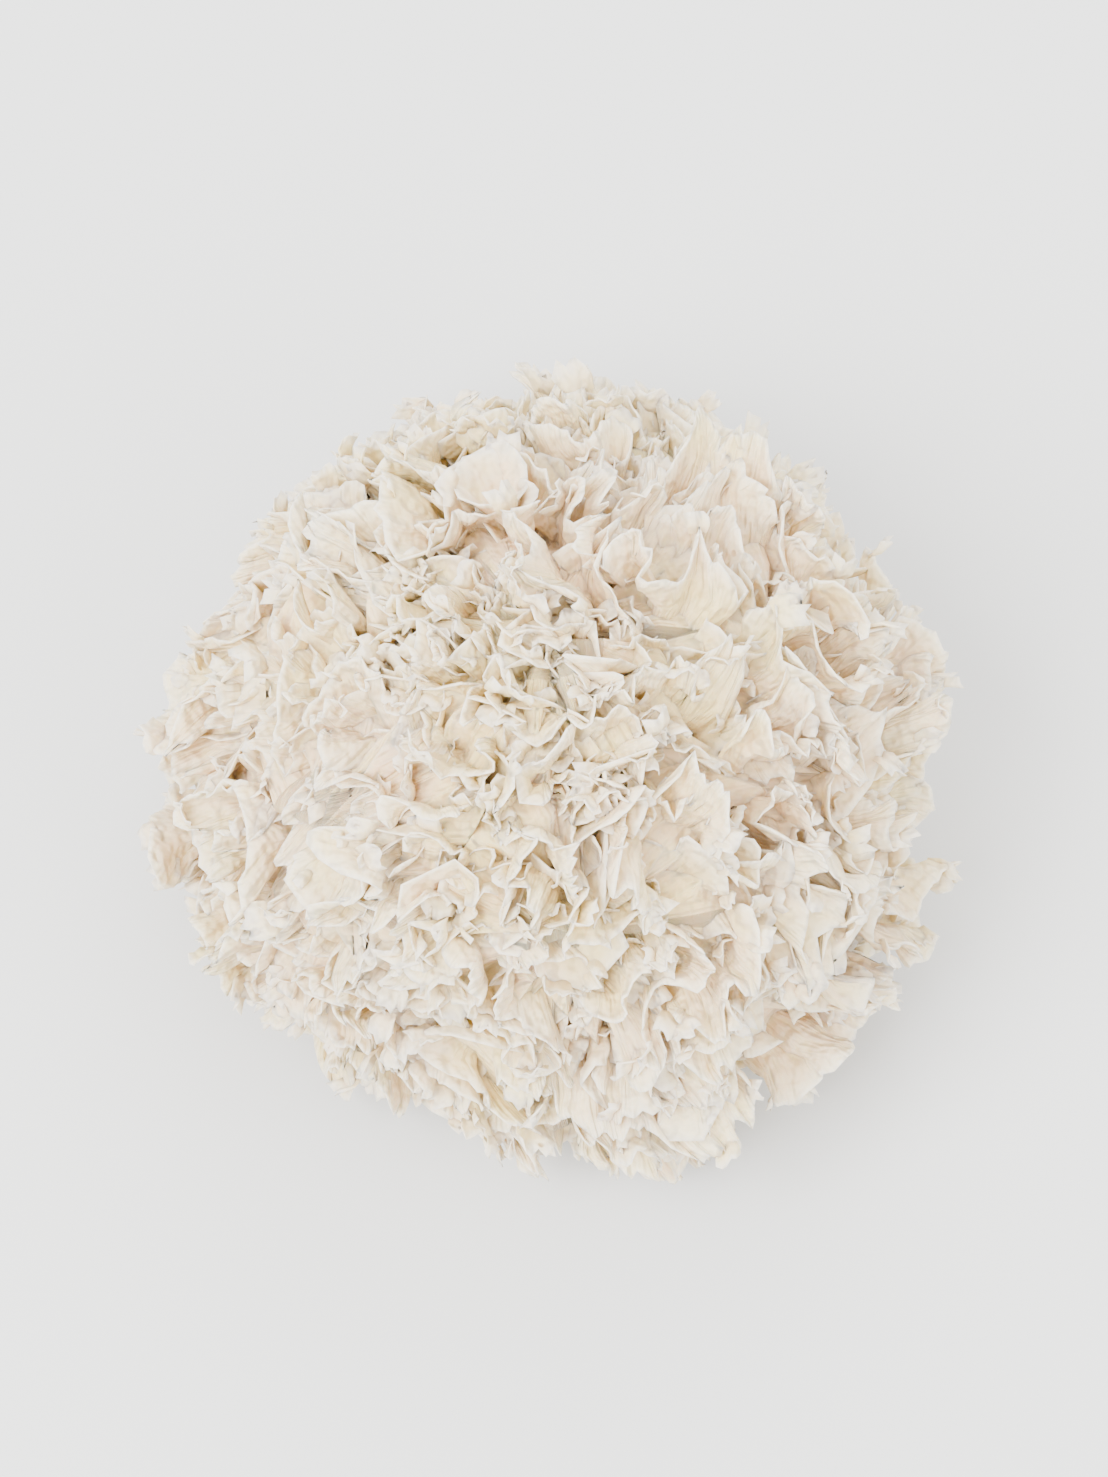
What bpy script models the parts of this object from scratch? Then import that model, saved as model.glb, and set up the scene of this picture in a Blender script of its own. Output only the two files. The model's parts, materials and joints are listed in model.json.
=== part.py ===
"""A dried snow fungus head: a cut base, and ruffled fronds that fork into lobes and fill a round dome.

The origin is the centre of the flat cut under the base, and +Z points up through the crown. Every frond
grows outwards from one growth centre inside the base: a short stem that forks into lobes, each of them one
sheet that winds to and fro all the way from its root inside the stem to its thin, notched margin. A frond
keeps to its own cell of directions round that centre, and a lobe to its own share of the cell, so that
neither crosses a neighbour, and one bend of the whole head then makes them lean and curl. Directions inside
a cell are drawn on the flat plane that touches its axis, where straight cell walls stay straight.
"""

import math

import bmesh
import bpy
import numpy as np

# The head, in metres
HEAD_RADIUS = 0.0525
HEAD_DEPTH_SHARE = 0.95
CROWN_RADIUS = 0.0495
CENTRE_HEIGHT = 0.0185
LOWEST_POLAR = math.radians(108.0)
UNDERSIDE_TUCK = 0.24
TUCK_SPAN = (-0.05, 0.42)

# The swell of the dome from one direction to the next: each wave's run along X, Y and Z, phase and height
OUTLINE_SWELL = 0.040
SWELL_WAVES = (((3.1, 0.0, 1.3), 0.4, 1.0), ((-2.2, 3.7, 0.0), 2.1, 0.8), ((0.0, 2.9, 5.3), 1.0, 0.6))

# The cut base
CUT_RADIUS = 0.0150
CORE_RADIUS = 0.0100
FOOT_RINGS = ((0.0016, 0.0162), (0.0052, 0.0134), (0.0088, 0.0098))
BASE_SIDES = 16
CORE_RINGS = 4
CORE_LOWEST_POLAR = math.radians(128.0)

# The waves that make the base uneven: how many run round it, their height and phase
BASE_WAVES = ((2.0, 0.05, 0.5), (5.0, 0.035, 1.9))

# Rings of fronds: how many a ring has, and its polar angle in degrees
FROND_RINGS = ((1, 6.0), (5, 47.0), (7, 87.0))
RING_TURN = math.radians(37.0)
ANGLE_JITTER = math.radians(5.0)
SEED = 11

# The stem of a frond, from the core up: its radii and its share of the cell at each
CLEARANCE = 0.0003
STEM_RADII = (CORE_RADIUS + CLEARANCE, 0.0160, 0.0215)
STEM_SHARES = (0.78, 0.86, 0.80)
STEM_SIDES = 9

# The lobes of a frond, by their turn round its axis
LOBE_TURNS = tuple(map(math.radians, (210.0, 90.0, 330.0)))
LOBE_OFFSET = 0.52
LOBE_COLUMNS = 13
LOBE_WAVES = (1.5, 2.0, 2.0, 2.5)
LOBE_TIGHTNESS = (1.35, 1.60)
MEANDER_POINTS = 321
ROUNDING = 0.94

# A lobe's sheet, from its root inside the stem to its margin on the dome
ROOT_RADIUS = 0.0200
ROOT_THICKNESS = 0.0008
MIDDLE_RADIUS = 0.0340
MIDDLE_THICKNESS = 0.0012
MARGIN_NOTCH = 0.0034
LEAST_REACH = 0.02

# The bend of the whole head: its share at each radius, and how far it leans the tips
BEND_RADII = (CORE_RADIUS + CLEARANCE, MIDDLE_RADIUS, HEAD_RADIUS)
BEND_SHARES = (0.0, 0.30, 1.0)
DROOP = math.radians(9.0)
SWIRL = math.radians(12.0)

# The sway of the tips along X, Y and Z: each one's run along X, Y and Z, and its phase
SWAY = 0.035
SWAY_WAVES = (((0.0, 5.0, 3.5), 0.0), ((3.0, 0.0, 5.0), 1.1), ((5.0, -4.0, 0.0), 2.3))

CREAM = (0.86, 0.78, 0.64, 1.0)
STRAW = (0.72, 0.52, 0.27, 1.0)
SHARP_ANGLE = math.radians(50.0)


def clear_scene():
    """Removes every object, such as the startup scene's."""
    for obj in list(bpy.data.objects):
        bpy.data.objects.remove(obj)


def unit(vectors):
    """The vectors at length one."""
    return vectors / np.linalg.norm(vectors, axis=-1, keepdims=True)


def smooth_step(low, high, value):
    """0 below low, 1 above high, and a smooth rise between them."""
    share = np.clip((value - low) / (high - low), 0.0, 1.0)
    return share * share * (3.0 - 2.0 * share)


def direction(polar, azimuth):
    """The unit vector at these angles from +Z and round from +X."""
    flat = math.sin(polar)
    return np.array([flat * math.cos(azimuth), flat * math.sin(azimuth), math.cos(polar)])


def tangent_frame(axis, turn):
    """Two unit vectors square to the axis and to each other, turned round it."""
    helper = np.array([0.0, 0.0, 1.0]) if abs(axis[2]) < 0.8 else np.array([1.0, 0.0, 0.0])
    first = unit(np.cross(helper, axis))
    second = np.cross(axis, first)
    return np.array(
        [
            math.cos(turn) * first + math.sin(turn) * second,
            math.cos(turn) * second - math.sin(turn) * first,
        ]
    )


def to_rays(flat, axis, frame):
    """The directions of points drawn on the plane that touches the axis."""
    return unit(axis + flat @ frame)


def frond_angles(rng):
    """The polar angle and azimuth of each frond, in uneven rings from the crown down."""
    angles = []
    for ring, (count, polar) in enumerate(FROND_RINGS):
        for place in range(count):
            azimuth = ring * RING_TURN + place * 2.0 * math.pi / count
            shift = rng.uniform(-ANGLE_JITTER, ANGLE_JITTER, 2)
            angles.append((math.radians(polar) + shift[0], azimuth + shift[1]))
    return angles


def cell_walls(angles, index):
    """The normals, pointing in, of the planes through the growth centre that bound a frond's cell.

    Each plane lies midway to another frond, or to its own mirror image below the lowest polar angle.
    """
    polar, azimuth = angles[index]
    own = direction(polar, azimuth)
    others = [direction(*pair) for k, pair in enumerate(angles) if k != index]
    mirrored = direction(2.0 * LOWEST_POLAR - polar, azimuth)
    return [unit(own - other) for other in others + [mirrored]]


def cell_reach(walls, axis, frame, turns, margin):
    """How far a cell reaches from its axis at each turn, on the plane that touches the axis."""
    heading = np.stack([np.cos(turns), np.sin(turns)], axis=-1) @ frame
    found = np.ones(np.shape(turns))
    for wall in walls:
        towards = -(heading @ wall)
        room = max(wall @ axis - margin, LEAST_REACH)
        wall_reach = room / np.maximum(towards, LEAST_REACH)
        found = np.where(towards > LEAST_REACH, np.minimum(found, wall_reach), found)
    return found


def outline_swell(rays):
    """The share by which the dome swells and shrinks from one direction to the next."""
    waves = [height * np.sin(rays @ np.array(run) + phase) for run, phase, height in SWELL_WAVES]
    return sum(waves) / sum(height for _, _, height in SWELL_WAVES)


def dome_radius(rays):
    """The distance from the growth centre to the dome in each direction."""
    height = np.clip(rays[..., 2], -1.0, 1.0)
    rounded = CROWN_RADIUS + (HEAD_RADIUS - CROWN_RADIUS) * (1.0 - height**2)
    depth = 1.0 - (1.0 - HEAD_DEPTH_SHARE) * rays[..., 1] ** 2
    tuck = 1.0 - UNDERSIDE_TUCK * smooth_step(*TUCK_SPAN, -height)
    return rounded * depth * tuck * (1.0 + OUTLINE_SWELL * outline_swell(rays))


def leaning_rays(rays):
    """The directions in which the tips lean: down, round and to and fro, smoothly and one to one."""
    polar = np.arccos(np.clip(rays[..., 2], -1.0, 1.0))
    azimuth = np.arctan2(rays[..., 1], rays[..., 0]) + SWIRL
    polar = polar + DROOP * np.sin(polar)
    flat = np.sin(polar)
    leaning = np.stack([flat * np.cos(azimuth), flat * np.sin(azimuth), np.cos(polar)], axis=-1)
    sway = np.stack([np.sin(leaning @ np.array(run) + phase) for run, phase in SWAY_WAVES], axis=-1)
    return leaning + SWAY * sway


def bend_head(points):
    """The points, counted from the growth centre, after the bend that curls the fronds out and round.

    Between the radii at which it is given, the bend grows evenly, so straight lines outwards stay straight
    and what is apart before it stays apart.
    """
    distance = np.linalg.norm(points, axis=-1)[..., None]
    rays = points / distance
    share = np.interp(distance, BEND_RADII, BEND_SHARES)
    return points + HEAD_RADIUS * share * (leaning_rays(rays) - rays)


def meander(waves, tightness, phase):
    """A fine line that winds to and fro and fills the unit circle."""
    along = np.linspace(0.0, 1.0, MEANDER_POINTS)
    heading = tightness * np.sin(2.0 * math.pi * waves * along + phase)
    line = np.cumsum(np.stack([np.cos(heading), np.sin(heading)], axis=-1), axis=0)
    low, high = line.min(axis=0), line.max(axis=0)
    line = (line - (low + high) / 2.0) / (high - low) * 2.0
    line[:, 1] *= np.sqrt(1.0 - (ROUNDING * line[:, 0]) ** 2)
    return line


def evenly_spaced(line, count):
    """Points at even steps along a line."""
    steps = np.linalg.norm(np.diff(line, axis=0), axis=-1)
    travelled = np.concatenate([[0.0], np.cumsum(steps)])
    wanted = np.linspace(0.0, travelled[-1], count)
    return np.stack([np.interp(wanted, travelled, line[:, k]) for k in range(2)], axis=-1)


def build_stem(name, axis, walls, material):
    """The stem of a frond, which widens with its cell from the core up to where the lobes part."""
    frame = tangent_frame(axis, 0.0)
    turns = np.arange(STEM_SIDES) * 2.0 * math.pi / STEM_SIDES
    round_line = np.stack([np.cos(turns), np.sin(turns)], axis=-1)
    rings = []
    for radius, share in zip(STEM_RADII, STEM_SHARES):
        spread = share * cell_reach(walls, axis, frame, turns, CLEARANCE / radius)
        rings.append(to_rays(round_line * spread[:, None], axis, frame) * radius)
    return mesh_object(name, bend_head(np.concatenate(rings)), ring_faces(len(rings), STEM_SIDES), material)


def sideways(line):
    """The vectors square to a flat line: of length one where it runs straight, and less where it turns."""
    steps = unit(np.diff(line, axis=0))
    heading = (np.concatenate([steps[:1], steps]) + np.concatenate([steps, steps[-1:]])) / 2.0
    return np.stack([-heading[:, 1], heading[:, 0]], axis=-1)


def build_lobe(name, centre, walls, rng, material):
    """A lobe: one sheet from a root inside the stem to a thin margin that winds to and fro."""
    winding = meander(rng.choice(LOBE_WAVES), rng.uniform(*LOBE_TIGHTNESS), rng.uniform(0.0, 2.0 * math.pi))
    frame = tangent_frame(centre, rng.uniform(0.0, math.pi))
    turns = np.arctan2(winding[:, 1], winding[:, 0])
    edge = (MIDDLE_THICKNESS / 2.0 + CLEARANCE) / MIDDLE_RADIUS
    winding = evenly_spaced(winding * cell_reach(walls, centre, frame, turns, edge)[:, None], LOBE_COLUMNS)
    rows = []
    for radius, thickness in ((ROOT_RADIUS, ROOT_THICKNESS), (MIDDLE_RADIUS, MIDDLE_THICKNESS)):
        shift = sideways(winding) * thickness / 2.0 / radius
        rows += [to_rays(winding + side * shift, centre, frame) * radius for side in (1.0, -1.0)]
    margin = to_rays(winding, centre, frame)
    notches = MARGIN_NOTCH * rng.uniform(0.0, 1.0, LOBE_COLUMNS)
    points = np.concatenate([*rows, margin * (dome_radius(margin) - notches)[:, None]])
    return mesh_object(name, bend_head(points), sheet_faces(LOBE_COLUMNS), material)


def sheet_faces(count):
    """The triangles of a sheet with five lines of points: two at its root, two halfway, one at its margin.

    Both sides are cut along the same diagonals, so a twisted strip can't cross itself.
    """
    left_root, right_root, left_middle, right_middle, margin = (row * count for row in range(5))
    faces = []
    for column in range(count - 1):
        after = column + 1
        for low, high in ((left_root, left_middle), (left_middle, margin)):
            faces.append((low + column, low + after, high + after))
            faces.append((low + column, high + after, high + column))
        for low, high in ((right_root, right_middle), (right_middle, margin)):
            faces.append((low + column, high + after, low + after))
            faces.append((low + column, high + column, high + after))
        faces.append((right_root + column, right_root + after, left_root + after))
        faces.append((right_root + column, left_root + after, left_root + column))
    last = count - 1
    faces.append((left_root, left_middle, right_middle, right_root))
    faces.append((left_middle, margin, right_middle))
    faces.append((right_root + last, right_middle + last, left_middle + last, left_root + last))
    faces.append((right_middle + last, margin + last, left_middle + last))
    return faces


def largest_island(built):
    """The faces of the island with the most faces."""
    left = set(built.faces)
    best = set()
    while left:
        island, edge_of_search = set(), [left.pop()]
        while edge_of_search:
            face = edge_of_search.pop()
            island.add(face)
            near = {other for edge in face.edges for other in edge.link_faces} & left
            left -= near
            edge_of_search.extend(near)
        if len(island) > len(best):
            best = island
    return best


def join(stem, lobes):
    """Makes the stem and its lobes one closed solid, and drops the lobes and any loose crumb."""
    for lobe in lobes:
        union = stem.modifiers.new(lobe.name, "BOOLEAN")
        union.operation = "UNION"
        union.solver = "MANIFOLD"
        union.object = lobe
    bpy.context.view_layer.update()
    joined = bpy.data.meshes.new_from_object(stem.evaluated_get(bpy.context.evaluated_depsgraph_get()))
    stem.modifiers.clear()
    stem.data = joined
    for lobe in lobes:
        bpy.data.objects.remove(lobe)
    built = bmesh.new()
    built.from_mesh(joined)
    kept = largest_island(built)
    bmesh.ops.delete(built, geom=[face for face in built.faces if face not in kept], context="FACES")
    built.to_mesh(joined)
    built.free()


def build_frond(name, axis, walls, rng, material):
    """A frond: a stem joined to the lobes it forks into, each in its own share of the cell."""
    frame = tangent_frame(axis, rng.uniform(0.0, 2.0 * math.pi))
    spread = LOBE_OFFSET * cell_reach(walls, axis, frame, np.array(LOBE_TURNS), 0.0)
    offsets = np.stack([np.cos(LOBE_TURNS), np.sin(LOBE_TURNS)], axis=-1) * spread[:, None]
    centres = to_rays(offsets, axis, frame)
    lobes = []
    for k, centre in enumerate(centres):
        between = [unit(centre - other) for j, other in enumerate(centres) if j != k]
        lobes.append(build_lobe(f"{name}_lobe_{k + 1}", centre, walls + between, rng, material))
    join(build_stem(name, axis, walls, material), lobes)


def ring_faces(rings, sides):
    """The faces of a closed stack of rings: quads between them and a cap on each end."""
    faces = []
    for low in range(0, (rings - 1) * sides, sides):
        for side in range(sides):
            after = (side + 1) % sides
            faces.append((low + side, low + after, low + sides + after, low + sides + side))
    faces.append(tuple(reversed(range(sides))))
    faces.append(tuple((rings - 1) * sides + side for side in range(sides)))
    return faces


def build_base(material):
    """The cut base: a flat cut, a low foot with a waist, and the round core that the fronds grow from."""
    turns = np.arange(BASE_SIDES) * 2.0 * math.pi / BASE_SIDES
    uneven = 1.0 + sum(height * np.sin(count * turns + phase) for count, height, phase in BASE_WAVES)
    rings = [(0.0, CUT_RADIUS * uneven)]
    rings += [(height, radius * uneven) for height, radius in FOOT_RINGS]
    for ring in range(CORE_RINGS):
        polar = CORE_LOWEST_POLAR * (1.0 - ring / CORE_RINGS)
        height = CENTRE_HEIGHT + CORE_RADIUS * math.cos(polar)
        rings.append((height, np.full(BASE_SIDES, CORE_RADIUS * math.sin(polar))))
    points = [
        np.stack([radius * np.cos(turns), radius * np.sin(turns), np.full(BASE_SIDES, height)], axis=-1)
        for height, radius in rings
    ]
    centre = np.array([0.0, 0.0, CENTRE_HEIGHT])
    return mesh_object("base", np.concatenate(points) - centre, ring_faces(len(rings), BASE_SIDES), material)


def mesh_object(name, points, faces, material):
    """A new object from points counted from the growth centre, with its place in its mesh."""
    mesh = bpy.data.meshes.new(name)
    mesh.from_pydata((points + np.array([0.0, 0.0, CENTRE_HEIGHT])).tolist(), [], faces)
    mesh.materials.append(material)
    built = bmesh.new()
    built.from_mesh(mesh)
    bmesh.ops.triangulate(built, faces=built.faces)
    if built.calc_volume(signed=True) < 0.0:
        bmesh.ops.reverse_faces(built, faces=built.faces)
    built.to_mesh(mesh)
    built.free()
    mesh.shade_smooth()
    mesh.set_sharp_from_angle(angle=SHARP_ANGLE)
    obj = bpy.data.objects.new(name, mesh)
    bpy.context.scene.collection.objects.link(obj)
    return obj


def surface_material(name, colour, roughness):
    """A Principled material of one colour."""
    material = bpy.data.materials.new(name)
    material.use_nodes = True
    shader = material.node_tree.nodes["Principled BSDF"]
    shader.inputs["Base Color"].default_value = colour
    shader.inputs["Roughness"].default_value = roughness
    shader.inputs["Metallic"].default_value = 0.0
    return material


def main():
    """Builds the base and the fronds."""
    clear_scene()
    rng = np.random.default_rng(SEED)
    build_base(surface_material("cut base", STRAW, 0.8))
    flesh = surface_material("dried frond", CREAM, 0.6)
    angles = frond_angles(rng)
    for index, (polar, azimuth) in enumerate(angles):
        name = f"frond_{index + 1:02d}"
        build_frond(name, direction(polar, azimuth), cell_walls(angles, index), rng, flesh)


main()
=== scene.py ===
"""A dried snow fungus head, dressed over its CAD frame.

Every frond is a stem that forks into lobes. Each lobe carries one winding, ruffled sheet, smaller frills that
branch from the sheet's sides, and a fringe of little tongues along the margin. The cells of directions, the
windings and the bend of the whole head repeat the CAD part's, so each piece fills its own node's place.
"""

import json
import logging
import math
from dataclasses import dataclass, field
from enum import Enum

import bpy
import numpy as np
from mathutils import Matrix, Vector

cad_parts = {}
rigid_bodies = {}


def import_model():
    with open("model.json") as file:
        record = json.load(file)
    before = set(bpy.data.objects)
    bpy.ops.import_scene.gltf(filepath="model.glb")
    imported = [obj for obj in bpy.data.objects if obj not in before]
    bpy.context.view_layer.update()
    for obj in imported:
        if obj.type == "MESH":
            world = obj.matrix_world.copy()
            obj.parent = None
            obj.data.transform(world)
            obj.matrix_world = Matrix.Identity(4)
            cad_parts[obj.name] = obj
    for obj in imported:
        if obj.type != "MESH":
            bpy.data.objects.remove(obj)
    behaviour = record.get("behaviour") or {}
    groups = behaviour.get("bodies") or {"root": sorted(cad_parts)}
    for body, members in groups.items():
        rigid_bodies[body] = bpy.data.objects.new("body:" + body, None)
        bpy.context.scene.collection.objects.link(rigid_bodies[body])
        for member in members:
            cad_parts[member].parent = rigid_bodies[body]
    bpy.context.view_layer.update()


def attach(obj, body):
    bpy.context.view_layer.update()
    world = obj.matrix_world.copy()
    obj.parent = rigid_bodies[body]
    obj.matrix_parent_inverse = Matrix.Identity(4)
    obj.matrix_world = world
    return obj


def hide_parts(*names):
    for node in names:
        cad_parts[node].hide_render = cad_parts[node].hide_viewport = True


LOG = logging.getLogger("snow_fungus")
BODY = "root"
FULL_TURN = 2.0 * math.pi

Colour = tuple[float, float, float, float]
Place = tuple[float, float, float]
Range = tuple[float, float]
Face = tuple[int, ...]
Settings = dict[str, str]
Socket = bpy.types.NodeSocket


class Slot(Enum):
    """The record's material slots."""

    CUT_BASE = "cut_base"
    DRIED_FROND = "dried_frond"


class Trait(Enum):
    """The point attributes that the materials read, named as the fields of a shell."""

    GROWTH = "growth"
    RIM = "rim"
    VEIN = "vein"
    TONE = "tone"


def unit(vectors: np.ndarray) -> np.ndarray:
    """The vectors at length one."""
    return vectors / np.maximum(np.linalg.norm(vectors, axis=-1, keepdims=True), 1e-12)


def eased(share: np.ndarray) -> np.ndarray:
    """A share from 0 to 1, with a gentle start and end."""
    return share * share * (3.0 - 2.0 * share)


def smooth_step(low: float, high: float, value: float | np.ndarray) -> np.ndarray:
    """0 below low, 1 above high, and a smooth rise between them."""
    return eased(np.clip((value - low) / (high - low), 0.0, 1.0))


def at_least(least: float, share: np.ndarray) -> np.ndarray:
    """A share lifted so that 0 becomes least and 1 stays 1."""
    return least + (1.0 - least) * share


def on_circle(turns: float | np.ndarray) -> np.ndarray:
    """The points of the unit circle at these turns."""
    return np.stack([np.cos(turns), np.sin(turns)], axis=-1)


def even_turns(count: int) -> np.ndarray:
    """Angles at even steps round a full turn."""
    return np.arange(count) * FULL_TURN / count


def direction(polar: float | np.ndarray, azimuth: float | np.ndarray) -> np.ndarray:
    """The unit vectors at these angles from +Z and round from +X."""
    flat = np.sin(polar)
    return np.stack([flat * np.cos(azimuth), flat * np.sin(azimuth), np.cos(polar)], axis=-1)


def tangent_frame(axis: np.ndarray, turn: float) -> np.ndarray:
    """A plane square to an axis.

    Args:
        axis: The axis, of length one.
        turn: How far the plane's own directions are turned round it.

    Returns:
        Two unit vectors in the plane, square to each other.
    """
    near_z = abs(axis[2]) >= 0.8
    helper = np.array([1.0, 0.0, 0.0]) if near_z else np.array([0.0, 0.0, 1.0])
    first = unit(np.cross(helper, axis))
    second = np.cross(axis, first)
    cosine, sine = math.cos(turn), math.sin(turn)
    return np.array([cosine * first + sine * second, cosine * second - sine * first])


def to_rays(flat: np.ndarray, axis: np.ndarray, frame: np.ndarray) -> np.ndarray:
    """The directions of points drawn on the plane that touches the axis."""
    return unit(axis + flat @ frame)


def travelled(rays: np.ndarray, radius: float) -> np.ndarray:
    """The distance covered at each point of a line of directions, at a radius."""
    return np.concatenate([[0.0], np.cumsum(np.linalg.norm(np.diff(rays, axis=0), axis=-1) * radius)])


def softened(rows: np.ndarray, reach: int) -> np.ndarray:
    """The rows after a moving average that keeps both ends in place."""
    padded = np.concatenate([np.repeat(rows[:1], reach, 0), rows, np.repeat(rows[-1:], reach, 0)])
    return np.mean([padded[k : k + len(rows)] for k in range(2 * reach + 1)], axis=0)


def wander(along: np.ndarray, step: float, rng: np.random.Generator) -> np.ndarray:
    """A smooth random line between -1 and 1.

    Args:
        along: Distances along the line, in metres, from 0 up.
        step: The distance from one random height to the next.
        rng: The seeded source of the heights.

    Returns:
        The line's height at each distance.
    """
    heights = rng.uniform(-1.0, 1.0, int(along[-1] / step) + 3)
    place = along / step
    low = place.astype(int)
    share = eased(place - low)
    return heights[low] * (1.0 - share) + heights[low + 1] * share


def wave_phase(along: np.ndarray, length: float, unevenness: float, rng: np.random.Generator) -> np.ndarray:
    """The phase of uneven waves along a line.

    Args:
        along: Even distances along the line, in metres.
        length: The mean length of a wave.
        unevenness: The share by which that length varies.
        rng: The seeded source of the variation.

    Returns:
        The phase in radians at each distance.
    """
    variation = 1.7 * length
    local = length * (1.0 + unevenness * wander(along, variation, rng))
    return rng.uniform(0.0, FULL_TURN) + FULL_TURN * np.cumsum(np.gradient(along) / local)


def crumple(along: np.ndarray, radius: np.ndarray, step: float, rng: np.random.Generator) -> np.ndarray:
    """A smooth random surface between -1 and 1 over a sheet.

    Args:
        along: The distance of each column along the sheet.
        radius: The distance out of each point, columns by rows.
        step: The distance from one random height to the next, both ways.
        rng: The seeded source of the heights.

    Returns:
        The surface's height at each point, columns by rows.
    """
    across = np.broadcast_to(along[:, None] / step, radius.shape)
    outward = (radius - radius.min()) / step
    heights = rng.uniform(-1.0, 1.0, (int(across.max()) + 3, int(outward.max()) + 3))
    i, j = across.astype(int), outward.astype(int)
    u, v = eased(across - i), eased(outward - j)
    near = heights[i, j] * (1.0 - u) + heights[i + 1, j] * u
    far = heights[i, j + 1] * (1.0 - u) + heights[i + 1, j + 1] * u
    return near * (1.0 - v) + far * v


def write_trait(mesh: bpy.types.Mesh, trait: Trait, values: np.ndarray) -> None:
    """Writes a trait's value at each point of a mesh."""
    layer = mesh.attributes.new(trait.value, "FLOAT", "POINT")
    layer.data.foreach_set("value", values.astype(np.float32))


def report(made: bpy.types.Object) -> None:
    """Reports a finished piece."""
    made.data.calc_loop_triangles()
    LOG.info("%s: %d triangles", made.name, len(made.data.loop_triangles))


@dataclass
class Shell:
    """A closed mesh in the making, with a value of each trait at each point."""

    points: np.ndarray
    faces: list[Face]
    growth: np.ndarray
    rim: np.ndarray
    vein: np.ndarray
    tone: float = 0.5

    @staticmethod
    def to_object(shells: list["Shell"], name: str, material: bpy.types.Material) -> bpy.types.Object:
        """Makes some shells one object at the origin, with their places in its mesh.

        Args:
            shells: The shells.
            name: The object's name.
            material: Its one material.

        Returns:
            The linked object.
        """
        faces: list[Face] = []
        start = 0
        for shell in shells:
            faces += [tuple(index + start for index in face) for face in shell.faces]
            start += len(shell.points)
        mesh = bpy.data.meshes.new(name)
        mesh.from_pydata(np.concatenate([shell.points for shell in shells]).tolist(), [], faces)
        for trait in Trait:
            values = [np.broadcast_to(getattr(shell, trait.value), len(shell.points)) for shell in shells]
            write_trait(mesh, trait, np.concatenate(values))
        mesh.materials.append(material)
        mesh.shade_smooth()
        mesh.update()
        made = bpy.data.objects.new(name, mesh)
        bpy.context.scene.collection.objects.link(made)
        return made

    @staticmethod
    def thin(middle: np.ndarray, half: np.ndarray) -> tuple[np.ndarray, list[Face]]:
        """A thin sheet with two sides and an edge that joins them.

        Args:
            middle: The points of its middle surface, columns by rows.
            half: Half its thickness at each row.

        Returns:
            The points of one side and then the other, and the faces.
        """
        normal = unit(np.cross(np.gradient(middle, axis=0), np.gradient(middle, axis=1)))
        step = normal * half[:, None]
        points = np.concatenate([(middle + step).reshape(-1, 3), (middle - step).reshape(-1, 3)])
        grid = np.arange(middle[..., 0].size).reshape(middle.shape[:2])
        low, after = grid[:-1, :-1].reshape(-1), grid[1:, :-1].reshape(-1)
        high, after_high = grid[:-1, 1:].reshape(-1), grid[1:, 1:].reshape(-1)
        front = np.stack([low, after, after_high, high], axis=-1)
        back = np.stack([high, after_high, after, low], axis=-1) + grid.size
        outline = np.concatenate([grid[:, 0], grid[-1, 1:], grid[-2::-1, -1], grid[0, -2:0:-1]])
        ahead = np.roll(outline, -1)
        edge = np.stack([ahead, outline, outline + grid.size, ahead + grid.size], axis=-1)
        return points, [tuple(face) for face in np.concatenate([front, back, edge]).tolist()]

    @staticmethod
    def bands(start: int, sides: int, rings: int) -> list[Face]:
        """The faces between closed rings of points, and the fan to the one point after the last ring.

        Args:
            start: The index of the first ring's first point.
            sides: How many points each ring has.
            rings: How many rings there are.

        Returns:
            The faces, ring by ring.
        """
        last = start + (rings - 1) * sides
        faces: list[Face] = []
        for low in range(start, last, sides):
            for side in range(sides):
                after = (side + 1) % sides
                faces.append((low + side, low + after, low + sides + after, low + sides + side))
        return faces + [(last + side, last + (side + 1) % sides, last + sides) for side in range(sides)]


@dataclass(frozen=True)
class Wave:
    """A wave over directions: its turn along each axis, in radians, its phase and its height."""

    x: float = 0.0
    y: float = 0.0
    z: float = 0.0
    phase: float = 0.0
    height: float = 1.0

    def at(self, rays: np.ndarray) -> np.ndarray:
        """The wave's height at each direction."""
        turn = self.x * rays[..., 0] + self.y * rays[..., 1] + self.z * rays[..., 2]
        return self.height * np.sin(turn + self.phase)

    @staticmethod
    def vectors(axes: tuple[tuple["Wave", ...], ...], rays: np.ndarray) -> np.ndarray:
        """A vector at each direction, each part of it a sum of waves."""
        return np.stack([sum(wave.at(rays) for wave in waves) for waves in axes], axis=-1)


@dataclass(frozen=True)
class Curl:
    """One curl of the tips.

    Attributes:
        depth: How far it bends a tip at the head's radius.
        turn: How fast its pattern changes over the directions.
        start: How far out it starts.
        power: How late it sets in after that.
    """

    depth: float
    turn: float
    start: float
    power: float


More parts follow.
